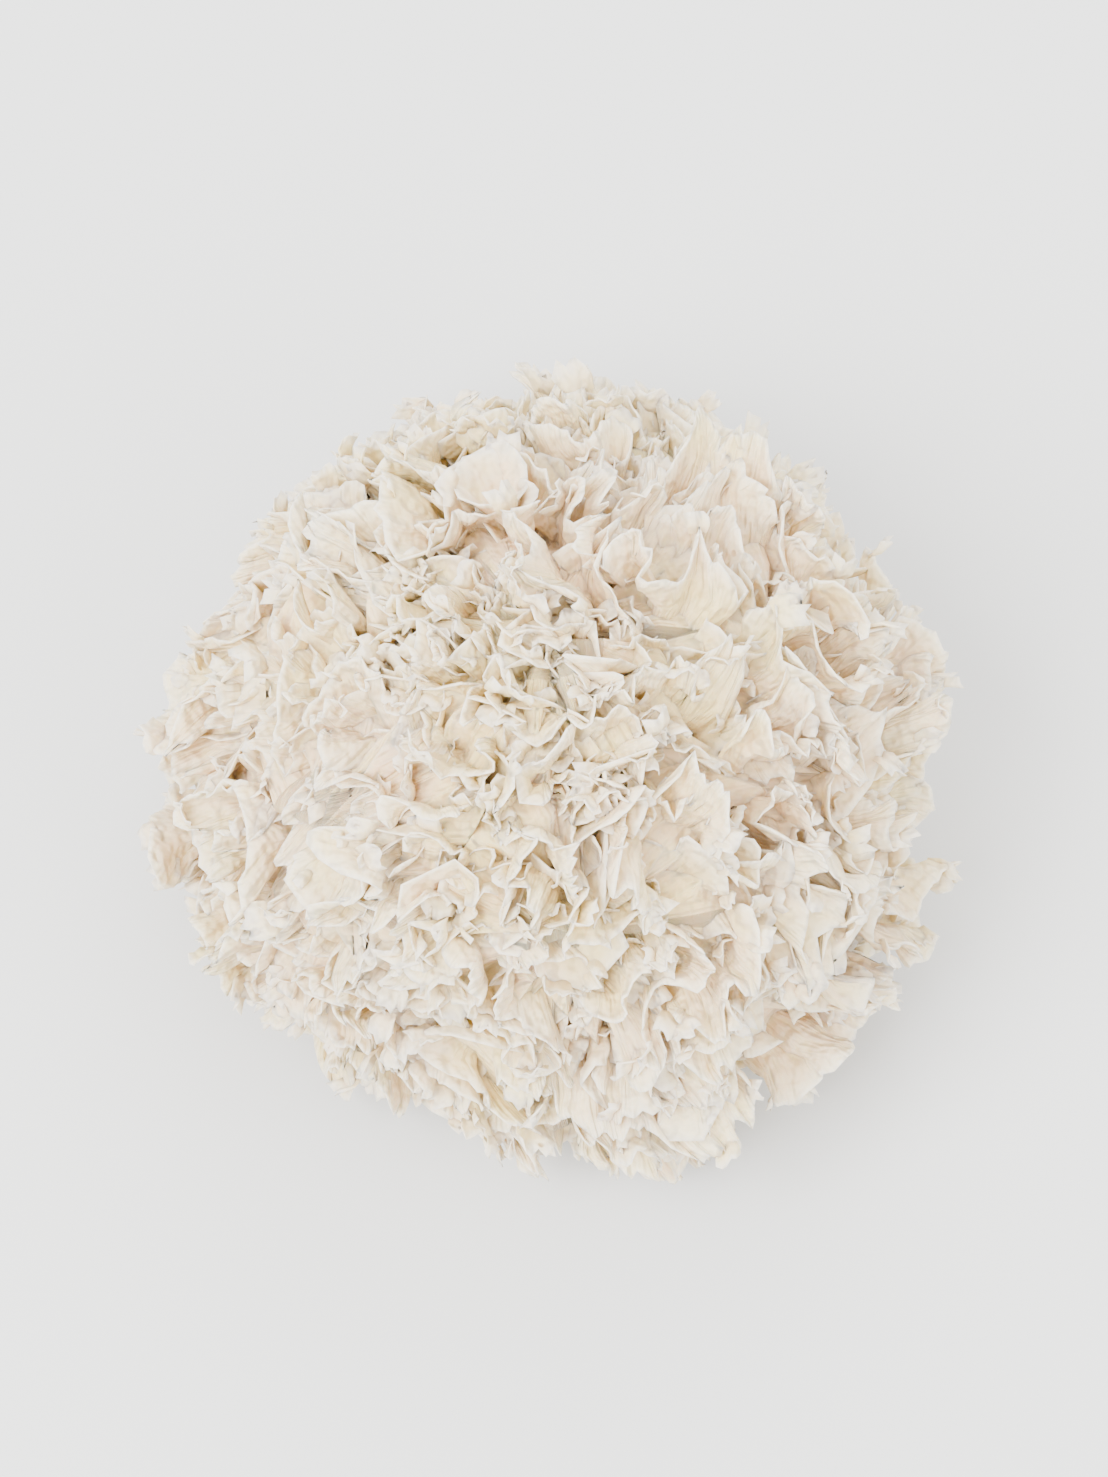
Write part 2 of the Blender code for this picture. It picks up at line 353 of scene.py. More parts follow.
@dataclass(frozen=True)
class HeadShape:
    """The whole head's form: its cells of directions, its dome and its bend, as in the CAD part."""

    head_radius: float = 0.0525
    depth_share: float = 0.95
    crown_radius: float = 0.0495
    centre_height: float = 0.0185
    lowest_polar: float = math.radians(108.0)
    underside_tuck: float = 0.24
    tuck_span: Range = (-0.05, 0.42)
    outline_swell: float = 0.040
    swells: tuple[Wave, ...] = (
        Wave(x=3.1, z=1.3, phase=0.4),
        Wave(x=-2.2, y=3.7, phase=2.1, height=0.8),
        Wave(y=2.9, z=5.3, phase=1.0, height=0.6),
    )
    frond_rings: tuple[tuple[int, float], ...] = ((1, 6.0), (5, 47.0), (7, 87.0))
    ring_turn: float = math.radians(37.0)
    angle_jitter: float = math.radians(5.0)
    least_reach: float = 0.02
    core_radius: float = 0.0100
    bend_power: float = 2.09
    greatest_bend: float = 1.3
    droop: float = math.radians(9.0)
    swirl: float = math.radians(12.0)
    sway: float = 0.035
    sway_turn: float = 5.0
    sway_waves: tuple[tuple[Wave, ...], ...] = (
        (Wave(y=1.0, z=0.7),),
        (Wave(x=0.6, z=1.0, phase=1.1),),
        (Wave(x=1.0, y=-0.8, phase=2.3),),
    )
    curls: tuple[Curl, ...] = (Curl(0.0042, 7.0, 0.034, 1.7), Curl(0.0034, 12.0, 0.040, 2.0))
    curl_waves: tuple[tuple[Wave, ...], ...] = (
        (Wave(y=1.1, z=0.6, phase=0.9), Wave(x=-0.7, z=1.9, height=0.5)),
        (Wave(x=-0.5, z=1.0, phase=2.2), Wave(x=1.7, y=0.9, phase=1.3, height=0.5)),
        (Wave(x=0.9, y=0.7, phase=4.1), Wave(y=1.8, z=-0.8, phase=2.0, height=0.5)),
    )
    curl_drop: float = 0.30
    greatest_curl: float = 1.2

    @property
    def centre(self) -> np.ndarray:
        """The growth centre, which the fronds spread from."""
        return np.array([0.0, 0.0, self.centre_height])

    def growth(self, points: np.ndarray) -> np.ndarray:
        """How far out points of the row frame lie, as a share of the head's radius."""
        return np.linalg.norm(points - self.centre, axis=-1) / self.head_radius

    def frond_angles(self, rng: np.random.Generator) -> list[Range]:
        """Places the fronds in uneven rings from the crown down.

        Args:
            rng: The source that the CAD part draws from.

        Returns:
            The polar angle and azimuth of each frond.
        """
        angles = []
        for ring, (count, polar) in enumerate(self.frond_rings):
            for place in range(count):
                azimuth = ring * self.ring_turn + place * FULL_TURN / count
                shift = rng.uniform(-self.angle_jitter, self.angle_jitter, 2)
                angles.append((math.radians(polar) + shift[0], azimuth + shift[1]))
        return angles

    def cell_walls(self, angles: list[Range], index: int) -> list[np.ndarray]:
        """Bounds a frond's cell by planes through the growth centre.

        Args:
            angles: The polar angle and azimuth of each frond.
            index: The frond's place among them.

        Returns:
            The planes' normals, pointing in.
        """
        polar, azimuth = angles[index]
        own = direction(polar, azimuth)
        others = [direction(*pair) for k, pair in enumerate(angles) if k != index]
        mirrored = direction(2.0 * self.lowest_polar - polar, azimuth)
        return [unit(own - other) for other in others + [mirrored]]

    def cell_reach(
        self, walls: list[np.ndarray], axis: np.ndarray, frame: np.ndarray, turns: np.ndarray, margin: float
    ) -> np.ndarray:
        """How far a cell reaches from its axis at each turn, on the plane that touches the axis.

        Args:
            walls: The cell's walls, as cell_walls gives them.
            axis: The direction that the plane touches.
            frame: The plane's two unit vectors.
            turns: The angles in that plane to measure at.
            margin: The room to leave at each wall.

        Returns:
            The distance to the nearest wall at each turn.
        """
        heading = on_circle(turns) @ frame
        found = np.ones(np.shape(turns))
        for wall in walls:
            towards = -(heading @ wall)
            room = max(float(wall @ axis) - margin, self.least_reach)
            wall_reach = room / np.maximum(towards, self.least_reach)
            found = np.where(towards > self.least_reach, np.minimum(found, wall_reach), found)
        return found

    def dome_radius(self, rays: np.ndarray) -> np.ndarray:
        """The distance from the growth centre to the dome.

        Args:
            rays: The directions to measure in.

        Returns:
            The distance in each direction.
        """
        y, z = rays[..., 1], rays[..., 2]
        swell = sum(wave.at(rays) for wave in self.swells) / sum(wave.height for wave in self.swells)
        rounded = self.crown_radius + (self.head_radius - self.crown_radius) * (1.0 - z**2)
        depth = 1.0 - (1.0 - self.depth_share) * y**2
        tuck = 1.0 - self.underside_tuck * smooth_step(*self.tuck_span, -z)
        return rounded * depth * tuck * (1.0 + self.outline_swell * swell)

    def leaning(self, rays: np.ndarray) -> np.ndarray:
        """Leans the tips down, round and to and fro.

        Args:
            rays: The directions that they grow in.

        Returns:
            The directions that they end in.
        """
        polar = np.arccos(np.clip(rays[..., 2], -1.0, 1.0))
        azimuth = np.arctan2(rays[..., 1], rays[..., 0]) + self.swirl
        lean = direction(polar + self.droop * np.sin(polar), azimuth)
        return lean + self.sway * Wave.vectors(self.sway_waves, lean * self.sway_turn)

    def grown(self, points: np.ndarray) -> np.ndarray:
        """Points counted from the growth centre, after the head's bend and the curl of its tips.

        Args:
            points: Points on straight growth lines, counted from the growth centre.

        Returns:
            The points in the row frame.
        """
        distance = np.linalg.norm(points, axis=-1, keepdims=True)
        rays = unit(points)
        reach = (distance - self.core_radius) / (self.head_radius - self.core_radius)
        share = np.clip(reach, 0.0, self.greatest_bend) ** self.bend_power
        bent = points + self.head_radius * share * (self.leaning(rays) - rays)
        for curl in self.curls:
            aside = Wave.vectors(self.curl_waves, rays * curl.turn)
            aside -= rays * np.sum(aside * rays, axis=-1, keepdims=True)
            reach = (distance - curl.start) / (self.head_radius - curl.start)
            lift = np.clip(reach, 0.0, self.greatest_curl) ** curl.power
            size = np.linalg.norm(aside, axis=-1, keepdims=True)
            bent += curl.depth * lift * (aside - self.curl_drop * size * rays)
        return bent + self.centre


@dataclass(frozen=True)
class Ripple:
    """One size of ruffle along a sheet.

    Attributes:
        height: Its height at the margin.
        length: The mean length of its waves.
        unevenness: The share by which that length varies.
        steadiness: How steady its height is, from 0.5 for waves that die out to 1 for even ones.
        swing: The distance over which its height changes.
        rise: How late it grows between the root and the margin.
    """

    height: float
    length: float
    unevenness: float
    steadiness: float
    swing: float
    rise: float

    def shift(self, along: np.ndarray, share: np.ndarray, rng: np.random.Generator) -> np.ndarray:
        """How far it moves each point of the sheet sideways.

        Args:
            along: The distance of each column along the sheet.
            share: The share of the way out of each row.
            rng: The seeded source of its waves.

        Returns:
            The shift of each point, columns by rows.
        """
        wave = np.sin(wave_phase(along, self.length, self.unevenness, rng))
        wave *= at_least(self.steadiness, wander(along, self.swing, rng))
        return self.height * wave[:, None] * share**self.rise


@dataclass
class Sheet:
    """One ruffled sheet: it grows outwards from a line of directions to a toothed margin.

    Attributes:
        rays: The unit directions of its columns, even steps apart.
        root_radius: Where each column starts, counted from the growth centre.
        margin_radius: Where each column ends.
        offset: How far the margin stands off sideways, for each column.
        rows: How many rows it has from root to margin.
        crowding: How much closer the rows stand near the margin.
        ruffle: The height and length of its main ruffles.
        second_ruffle: The same for the shorter ruffles among them, as shares of the main ones'.
        crisp: The height and length of the small ruffles at the margin.
        lip: How far the margin rolls over to one side or the other.
        lip_length: The distance over which it changes sides, as a share of the main ruffles' length.
        lip_span: The shares of the way out between which it rolls over.
        lip_gain: A factor on that roll, which isn't whole yet at the margin.
        lip_fall: How far the rolled margin sinks, as a share of its roll.
        fall_span: The shares of the way out between which it sinks.
        thickness: Its thickness at the root and at the margin.
        thinning: How soon it thins out.
        edge: The share of that thickness that the margin's own edge keeps.
        rim_width: The width of its rim, which places the fringe and which the finish paints pale as light
            shining through the thin margin.
        puckers: The length and height of the dents all over it.
        root_puckers: The share of their height that the dents have at the root.
        offset_rise: How late the offset grows between the root and the margin.
        vein_step: The distance along the sheet that counts as one in its vein trait.
    """

    rays: np.ndarray
    root_radius: np.ndarray
    margin_radius: np.ndarray
    offset: np.ndarray
    rows: int = 12
    crowding: float = 1.6
    ruffle: Range = (0.0017, 0.0072)
    second_ruffle: Range = (0.42, 0.47)
    crisp: Range = (0.00050, 0.0019)
    lip: float = 0.0034
    lip_length: float = 0.83
    lip_span: Range = (0.62, 1.12)
    lip_gain: float = 1.6
    lip_fall: float = 0.45
    fall_span: Range = (0.70, 1.05)
    thickness: Range = (0.0010, 0.00030)
    thinning: float = 0.7
    edge: float = 0.45
    rim_width: float = 0.0011
    puckers: tuple[Range, ...] = ((0.0062, 0.00125), (0.0030, 0.00072), (0.0014, 0.00026))
    root_puckers: float = 0.25
    offset_rise: float = 1.15
    vein_step: float = 0.01

    def ripples(self) -> tuple[Ripple, ...]:
        """The sheet's three sizes of ruffle.

        Returns:
            The main ones, the shorter ones among them and the crisp ones at the margin.
        """
        second = [share * size for share, size in zip(self.second_ruffle, self.ruffle)]
        return (
            Ripple(*self.ruffle, unevenness=0.35, steadiness=0.65, swing=0.011, rise=2.0),
            Ripple(*second, unevenness=0.35, steadiness=0.6, swing=0.007, rise=3.5),
            Ripple(*self.crisp, unevenness=0.3, steadiness=0.6, swing=0.006, rise=7.0),
        )

    def middle(self, along: np.ndarray, share: np.ndarray, rng: np.random.Generator) -> np.ndarray:
        """The sheet's middle surface before the head's bend.

        Args:
            along: The distance of each column along the sheet.
            share: The share of the way out of each row.
            rng: The seeded source of its ruffles.

        Returns:
            The points, columns by rows.
        """
        heading = unit(np.gradient(self.rays, axis=0))
        side = unit(np.cross(self.rays, heading))
        radius = self.root_radius[:, None] + (self.margin_radius - self.root_radius)[:, None] * share
        shift = np.zeros_like(radius)
        for ripple in self.ripples():
            shift += ripple.shift(along, share, rng)
        lip = self.lip * wander(along, self.lip_length * self.ruffle[1], rng)[:, None]
        shift += self.lip_gain * lip * smooth_step(*self.lip_span, share)
        shift += self.offset[:, None] * share**self.offset_rise
        drift = np.zeros_like(radius)
        for step, height in self.puckers:
            shift += height * crumple(along, radius, step, rng) * at_least(self.root_puckers, share)
            drift += height * crumple(along, radius, step, rng) * share
        radius = radius - self.lip_fall * np.abs(lip) * smooth_step(*self.fall_span, share)
        moved = side[:, None, :] * shift[..., None] + heading[:, None, :] * drift[..., None]
        return self.rays[:, None, :] * radius[..., None] + moved

    def shell(self, shape: HeadShape, rng: np.random.Generator) -> Shell:
        """The closed sheet in the row frame.

        Args:
            shape: The head that bends it.
            rng: The seeded source of its ruffles.

        Returns:
            Its two sides, joined all round.
        """
        share = 1.0 - (1.0 - np.linspace(0.0, 1.0, self.rows)) ** self.crowding
        along = travelled(self.rays, shape.head_radius)
        middle = shape.grown(self.middle(along, share, rng))
        half = (self.thickness[0] + (self.thickness[1] - self.thickness[0]) * share**self.thinning) / 2.0
        half[-1] *= self.edge
        points, faces = Shell.thin(middle, half)
        length = np.linalg.norm(np.diff(middle, axis=1), axis=-1)
        to_rim = np.pad(np.cumsum(length[:, ::-1], axis=1)[:, ::-1], ((0, 0), (0, 1)))
        return Shell(
            points=points,
            faces=faces,
            growth=np.tile(shape.growth(middle).reshape(-1), 2),
            # The rim trait is 1 at the margin: the fringe stands there, and the finish paints it pale as
            # light shining through the thin edge.
            rim=np.tile(np.exp(-to_rim.reshape(-1) / self.rim_width), 2),
            vein=np.tile(np.repeat(along / self.vein_step, self.rows), 2),
            tone=rng.uniform(0.0, 1.0),
        )


@dataclass(frozen=True)
class Scallop:
    """A row of round tongues along a margin, with narrow notches between them.

    Attributes:
        depth: How deep the notches are.
        length: The mean distance from one to the next.
        unevenness: The share by which that distance varies.
        narrowness: How narrow the notches are: the nearer 0, the narrower.
    """

    depth: float
    length: float
    unevenness: float
    narrowness: float

    def drop(self, along: np.ndarray, rng: np.random.Generator) -> np.ndarray:
        """How far the margin falls back at each distance along it."""
        arch = np.abs(np.sin(wave_phase(along, self.length, self.unevenness, rng) / 2.0))
        return self.depth * (1.0 - arch**self.narrowness)


@dataclass(frozen=True)
class FrillKind:
    """The sizes of one kind of smaller sheet.

    Attributes:
        lengths: The least and greatest length.
        roots: Where it starts, as a share of the way out to the sheet or dome that it follows.
        drops: How far its top lies below that sheet or dome.
        teeth: The teeth of its margin.
        least_height: The share of its height that it has at both ends.
        least_offset: The share of its offset that it has at both ends.
        rows: How many rows it has from root to margin.
        ruffle: The height and length of its main ruffles.
        thickness: Its thickness at the root and at the margin.
        end_angle: How far from 0 and from half a turn its arch begins and ends.
        roundness: How blunt the arch is: the nearer 0, the blunter.
    """

    lengths: Range
    roots: Range
    drops: Range
    teeth: Scallop
    least_height: float
    least_offset: float
    rows: int
    ruffle: Range
    thickness: Range
    end_angle: float
    roundness: float = 0.6

    def arch(self, columns: int) -> np.ndarray:
        """How tall it is at each column, from near 0 at both ends to 1 in the middle."""
        return np.sin(np.linspace(self.end_angle, math.pi - self.end_angle, columns)) ** self.roundness

    def sheet(self, rays: np.ndarray, highest: np.ndarray, step: float, rng: np.random.Generator) -> Sheet:
        """Draws a sheet of this kind, with no offset yet.

        Args:
            rays: The directions of its columns.
            highest: The sheet or dome that it stays below, at each column.
            step: The distance from column to column.
            rng: The seeded source of its sizes.

        Returns:
            The sheet.
        """
        root = rng.uniform(*self.roots) * highest
        top = highest - rng.uniform(*self.drops)
        height = (top - root) * at_least(self.least_height, self.arch(len(rays)))
        drop = self.teeth.drop(np.arange(len(rays)) * step, rng)
        margin = root + height - drop
        offset = np.zeros(len(rays))
        return Sheet(rays, root, margin, offset, self.rows, ruffle=self.ruffle, thickness=self.thickness)

    def stand_off(self, sheet: Sheet, distance: float) -> Sheet:
        """The same sheet with its middle a distance off its line."""
        sheet.offset = distance * at_least(self.least_offset, self.arch(len(sheet.rays)))
        return sheet


@dataclass
class Lobe:
    """One lobe: its winding sheet and the frills that branch from it.

    Attributes:
        shape: The head it belongs to.
        centre: The direction of its middle.
        walls: The walls of its own share of the frond's cell.
        winding: The flat line that its sheet follows.
        frame: The plane that the line is drawn in.
        column_step: The distance between columns at the dome.
        root_radius: How far out its main sheet starts.
        softening: How many of the line's points each way it is averaged over.
        tongues: The tongues of its main margin.
        teeth: The teeth on them.
        least_teeth: The share of their depth that the teeth have between the dips.
        dips: The depth and length of the long dips of that margin.
        frays: The depth and length of its finest teeth.
        breadths: How broad its ruffles may be against the usual.
        margin_shifts: How far its margin may stand inside or outside its top.
        valley_depth: How much lower it is where it meets its neighbours.
        valley_reach: How far from them that begins.
        side_kind: The frills that follow the main sheet.
        side_frills: How many there are.
        side_offsets: How far off the main sheet they stand.
        cross_kind: The frills that fill the gaps between its windings.
        cross_frills: How many there are, and how near the edge of its cell they stand at least.
        cross_offset: How far off their own line they may stand.
        cross_bend: How far their line may bend.
        cross_room: The room that they leave at the walls.
        cross_points: How many points their line has before it is spaced evenly.
        tone_share: How alike the tones of its sheets are, from 0 to 1.
    """

    shape: HeadShape
    centre: np.ndarray
    walls: list[np.ndarray]
    winding: np.ndarray
    frame: np.ndarray
    column_step: float = 0.00052
    softening: int = 5
    root_radius: float = 0.0190
    tongues: Scallop = Scallop(0.0034, 0.0095, 0.4, 0.6)
    teeth: Scallop = Scallop(0.0012, 0.0030, 0.6, 0.7)
    least_teeth: float = 0.3
    dips: Range = (0.0030, 0.009)
    frays: Range = (0.00060, 0.0007)
    breadths: Range = (0.75, 1.45)
    margin_shifts: Range = (-0.0030, 0.0024)
    valley_depth: float = 0.0042
    valley_reach: float = 0.0075
    side_kind: FrillKind = FrillKind(
        lengths=(0.008, 0.019),
        roots=(0.46, 0.62),
        drops=(0.0005, 0.0055),
        teeth=Scallop(0.0007, 0.0042, 0.5, 0.8),
        least_height=0.35,
        least_offset=0.4,
        rows=7,
        ruffle=(0.0012, 0.0048),
        thickness=(0.0008, 0.00032),
        end_angle=0.05,
    )
    side_frills: int = 5
    side_offsets: Range = (0.0016, 0.0034)
    cross_kind: FrillKind = FrillKind(
        lengths=(0.007, 0.014),
        roots=(0.46, 0.58),
        drops=(0.0005, 0.0075),
        teeth=Scallop(0.0010, 0.0034, 0.5, 0.8),
        least_height=0.40,
        least_offset=0.0,
        rows=8,
        ruffle=(0.0012, 0.0046),
        thickness=(0.0009, 0.00030),
        end_angle=0.10,
    )
    cross_frills: tuple[tuple[int, float], ...] = ((7, 0.0), (9, 0.85))
    cross_offset: float = 0.0015
    cross_bend: float = 2.4
    cross_room: float = 0.01
    cross_points: int = 25
    tone_share: float = 0.60

    def top(self, rays: np.ndarray) -> np.ndarray:
        """How far out the lobe's rounded top lies: at the dome, and lower towards the neighbouring lobes.

        Args:
            rays: The directions to measure in.

        Returns:
            The distance from the growth centre in each direction.
        """
        dome = self.shape.dome_radius(rays)
        room = np.min([rays @ wall for wall in self.walls], axis=0) * dome
        return dome - self.valley_depth * (1.0 - smooth_step(0.0, self.valley_reach, room))

    def evenly(self, rays: np.ndarray) -> np.ndarray:
        """Spaces a line of directions evenly.

        Args:
            rays: The line.

        Returns:
            The same line, with a column at every step of its length at the dome.
        """
        along = travelled(rays, self.shape.head_radius)
        wanted = np.linspace(0.0, along[-1], int(along[-1] / self.column_step) + 1)
        return unit(np.stack([np.interp(wanted, along, rays[:, k]) for k in range(3)], axis=-1))

    def margin(self, rays: np.ndarray, rng: np.random.Generator) -> np.ndarray:
        """Cuts the main margin into round tongues, narrow notches and fine teeth.

        Args:
            rays: The main sheet's columns.
            rng: The seeded source of their places and sizes.

        Returns:
            How far out the margin lies at each column.
        """
        along = np.arange(len(rays)) * self.column_step
        tongues, teeth = self.tongues.drop(along, rng), self.teeth.drop(along, rng)
        frays = self.frays[0] * wander(along, self.frays[1], rng)
        dips = at_least(0.5, wander(along, self.dips[1], rng))
        drop = tongues + teeth * (self.least_teeth + dips) + self.dips[0] * dips + frays
        return self.top(rays) + rng.uniform(*self.margin_shifts) - drop

    def side_frill(self, rays: np.ndarray, margin: np.ndarray, rng: np.random.Generator) -> Sheet:
        """A smaller sheet that branches from one side of the main one.

        Args:
            rays: The main sheet's columns.
            margin: Its margin's distance at each of them.
            rng: The seeded source of the frill's place and size.

        Returns:
            The frill.
        """
        length = min(int(rng.uniform(*self.side_kind.lengths) / self.column_step), len(rays) - 2)
        start = int(rng.uniform(0, len(rays) - length))
        part = slice(start, start + length)
        frill = self.side_kind.sheet(rays[part], margin[part], self.column_step, rng)
        return self.side_kind.stand_off(frill, rng.choice((-1.0, 1.0)) * rng.uniform(*self.side_offsets))

    def cross_frill(self, least_share: float, rng: np.random.Generator) -> Sheet:
        """A small sheet that fills a gap between the main sheet's windings.

        Args:
            least_share: How near the edge of the lobe's share of the cell it stands at least, from 0 to 1.
            rng: The seeded source of its place, heading and size.

        Returns:
            The frill.
        """
        turn, heading = rng.uniform(0.0, FULL_TURN, 2)
        reach = self.shape.cell_reach(self.walls, self.centre, self.frame, turn, self.cross_room)
        middle = math.sqrt(rng.uniform(least_share**2, 1.0)) * reach * on_circle(turn)
        bend = rng.uniform(-self.cross_bend, self.cross_bend)
        headings = heading + bend * np.linspace(-0.5, 0.5, self.cross_points)
        length = rng.uniform(*self.cross_kind.lengths) / self.shape.head_radius
        line = length * np.cumsum(on_circle(headings), axis=0) / self.cross_points
        line += middle - line[self.cross_points // 2]
        rays = self.evenly(to_rays(line, self.centre, self.frame))
        frill = self.cross_kind.sheet(rays, self.top(rays), self.column_step, rng)
        return self.cross_kind.stand_off(frill, rng.uniform(-self.cross_offset, self.cross_offset))

    def shells(self, rng: np.random.Generator) -> list[Shell]:
        """Grows the main sheet and its frills.

        Args:
            rng: The seeded source of their places and ruffles.

        Returns:
            Their shells, with tones drawn towards one of the lobe's own.
        """
        rays = self.evenly(softened(to_rays(self.winding, self.centre, self.frame), self.softening))
        margin = self.margin(rays, rng)
        main = Sheet(rays, np.full(len(rays), self.root_radius), margin, np.zeros(len(rays)))
        breadth = rng.uniform(*self.breadths)
        main.ruffle = (main.ruffle[0] * breadth, main.ruffle[1] * breadth)
        main.lip *= breadth
        made = [main.shell(self.shape, rng)]
        for _ in range(self.side_frills):
            made.append(self.side_frill(rays, margin, rng).shell(self.shape, rng))
        for count, least_share in self.cross_frills:
            made += [self.cross_frill(least_share, rng).shell(self.shape, rng) for _ in range(count)]
        own_tone = rng.uniform(0.0, 1.0)
        for shell in made:
            shell.tone += self.tone_share * (own_tone - shell.tone)
        return made


class NodeTree:
    """A short way to build a tree of nodes."""

    def __init__(self, tree: bpy.types.NodeTree) -> None:
        """Takes the tree to build in."""
        self.tree = tree

    def feed(self, socket: Socket, value: object) -> None:
        """Links an input socket, or sets its value.

        Args:
            socket: The input.
            value: A socket to link, or a value.
        """
        if isinstance(value, Socket):
            self.tree.links.new(value, socket)
        else:
            socket.default_value = value

    def fill(self, node: bpy.types.Node, inputs: dict[str, object]) -> None:
        """Feeds a node's inputs by name.

        Args:
            node: The node.
            inputs: A socket to link, or a value, for each name, with its spaces as underscores.
        """
        for key, value in inputs.items():
            name = key.replace("_", " ")
            socket = next(socket for socket in node.inputs if socket.name == name and socket.enabled)
            self.feed(socket, value)

    def add(self, kind: str, settings: Settings | None = None, **inputs: object) -> bpy.types.Node:
        """Adds a node.

        Args:
            kind: The node's type.
            settings: Its own properties.
            **inputs: Its inputs, as in fill.

        Returns:
            The node.
        """
        node = self.tree.nodes.new(kind)
        for key, value in (settings or {}).items():
            setattr(node, key, value)
        self.fill(node, inputs)
        return node

    def value(self, kind: str, settings: Settings | None = None, **inputs: object) -> Socket:
        """The first output in use of a new node."""
        return next(socket for socket in self.add(kind, settings, **inputs).outputs if socket.enabled)

    def sum(self, kind: str, operation: str, *values: object) -> Socket:
        """Adds a math node.

        Args:
            kind: The node's type.
            operation: What it does.
            *values: Its inputs in their order, each a socket to link or a value.

        Returns:
            Its result.
        """
        node = self.add(kind, {"operation": operation})
        for socket, value in zip(node.inputs, values):
            self.feed(socket, value)
        return node.outputs[0]


class GeometryGraph(NodeTree):
    """A short way to build a tree of geometry nodes."""

    def __init__(self, name: str) -> None:
        """Starts an empty tree that takes and gives a geometry.

        Args:
            name: The tree's name.
        """
        super().__init__(bpy.data.node_groups.new(name, "GeometryNodeTree"))
        self.tree.is_modifier = True
        self.tree.interface.new_socket(name="Geometry", in_out="OUTPUT", socket_type="NodeSocketGeometry")
        self.keys: dict[str, str] = {}
        self.entry = self.add("NodeGroupInput")
        self.exit = self.add("NodeGroupOutput")
        self.geometry = self.input("Geometry", "NodeSocketGeometry")

    def input(self, name: str, kind: str) -> Socket:
        """Adds an input to the tree.

        Args:
            name: Its name.
            kind: Its socket type.

        Returns:
            Its socket inside the tree.
        """
        socket = self.tree.interface.new_socket(name=name, in_out="INPUT", socket_type=kind)
        self.keys[name] = socket.identifier
        return self.entry.outputs[name]

    def chance(self, kind: str, least: object, most: object, seed: int) -> Socket:
        """A random value for each point, between two limits."""
        return self.value("FunctionNodeRandomValue", {"data_type": kind}, Min=least, Max=most, Seed=seed)

    def finish(self, geometry: Socket) -> None:
        """Ends the tree with a geometry."""
        self.feed(self.exit.inputs[0], geometry)


@dataclass(frozen=True)
class Tongue:
    """One shape of the fringe: a little curled tongue that stands on its root.

    Attributes:
        width: Its greatest width.
        length: Its length.
        curl: How far its tip rolls over.
        ruffle: How deep its one ruffle is.
        skew: How far its tip leans to one side.
        seed: The seed of its ragged outline.
        edge: The share of its thickness that its tip keeps.
        root_depth: How deep its root stands in the sheet.
        root_shares: The shares of its width, its ruffle and its painted glow, the paleness of light shining
            through its thin tip, that it has at the root.
        rises: How late its width, skew, curl and painted glow grow between root and tip.
        corner_drop: How much shorter it is at its corners.
        corner_power: How near its sides that begins.
        ruffle_turn: The turn of its ruffle from the middle to a side.
    """

    width: float
    length: float
    curl: float
    ruffle: float
    skew: float
    seed: int
    thickness: float = 0.00026
    edge: float = 0.35
    root_depth: float = 0.0005
    columns: int = 7
    rows: int = 3
    raggedness: float = 0.20
    root_shares: Place = (0.74, 0.25, 0.10)
    rises: tuple[float, ...] = (0.7, 1.5, 2.2, 2.5)
    corner_drop: float = 0.26
    corner_power: float = 3.0
    ruffle_turn: float = 3.6

    def build(self) -> bpy.types.Object:
        """Builds the tongue at the origin, with its length up Z and its faces across Y.

        Returns:
            Its object, in no scene.
        """
        rng = np.random.default_rng(self.seed)
        across = np.linspace(-1.0, 1.0, self.columns)[:, None]
        share = np.linspace(0.0, 1.0, self.rows)
        ragged = rng.uniform(-self.raggedness, self.raggedness, self.columns)[:, None] * share
        wave = np.sin(self.ruffle_turn * across + rng.uniform(0.0, FULL_TURN))
        breadth, depth, root_glow = self.root_shares
        widened, skewed, curled, glow_rise = (share**power for power in self.rises)
        spread = at_least(breadth, np.sin(0.5 * math.pi * widened))
        outline = 1.0 - self.corner_drop * np.abs(across) ** self.corner_power + ragged
        x = 0.5 * self.width * across * spread + self.skew * skewed
        y = self.curl * curled + self.ruffle * wave * at_least(depth, share)
        z = self.length * share * outline - self.root_depth
        half = np.full(self.rows, self.thickness / 2.0)
        half[-1] *= self.edge
        points, faces = Shell.thin(np.stack(np.broadcast_arrays(x, y, z), axis=-1), half)
        mesh = bpy.data.meshes.new(f"tongue_{self.seed}")
        mesh.from_pydata(points.tolist(), [], faces)
        # Its rim trait, which the finish paints pale as light shining through the thin tongue, most at the
        # tip.
        write_trait(mesh, Trait.RIM, np.tile(at_least(root_glow, glow_rise), 2 * self.columns))
        mesh.shade_smooth()
        return bpy.data.objects.new(mesh.name, mesh)


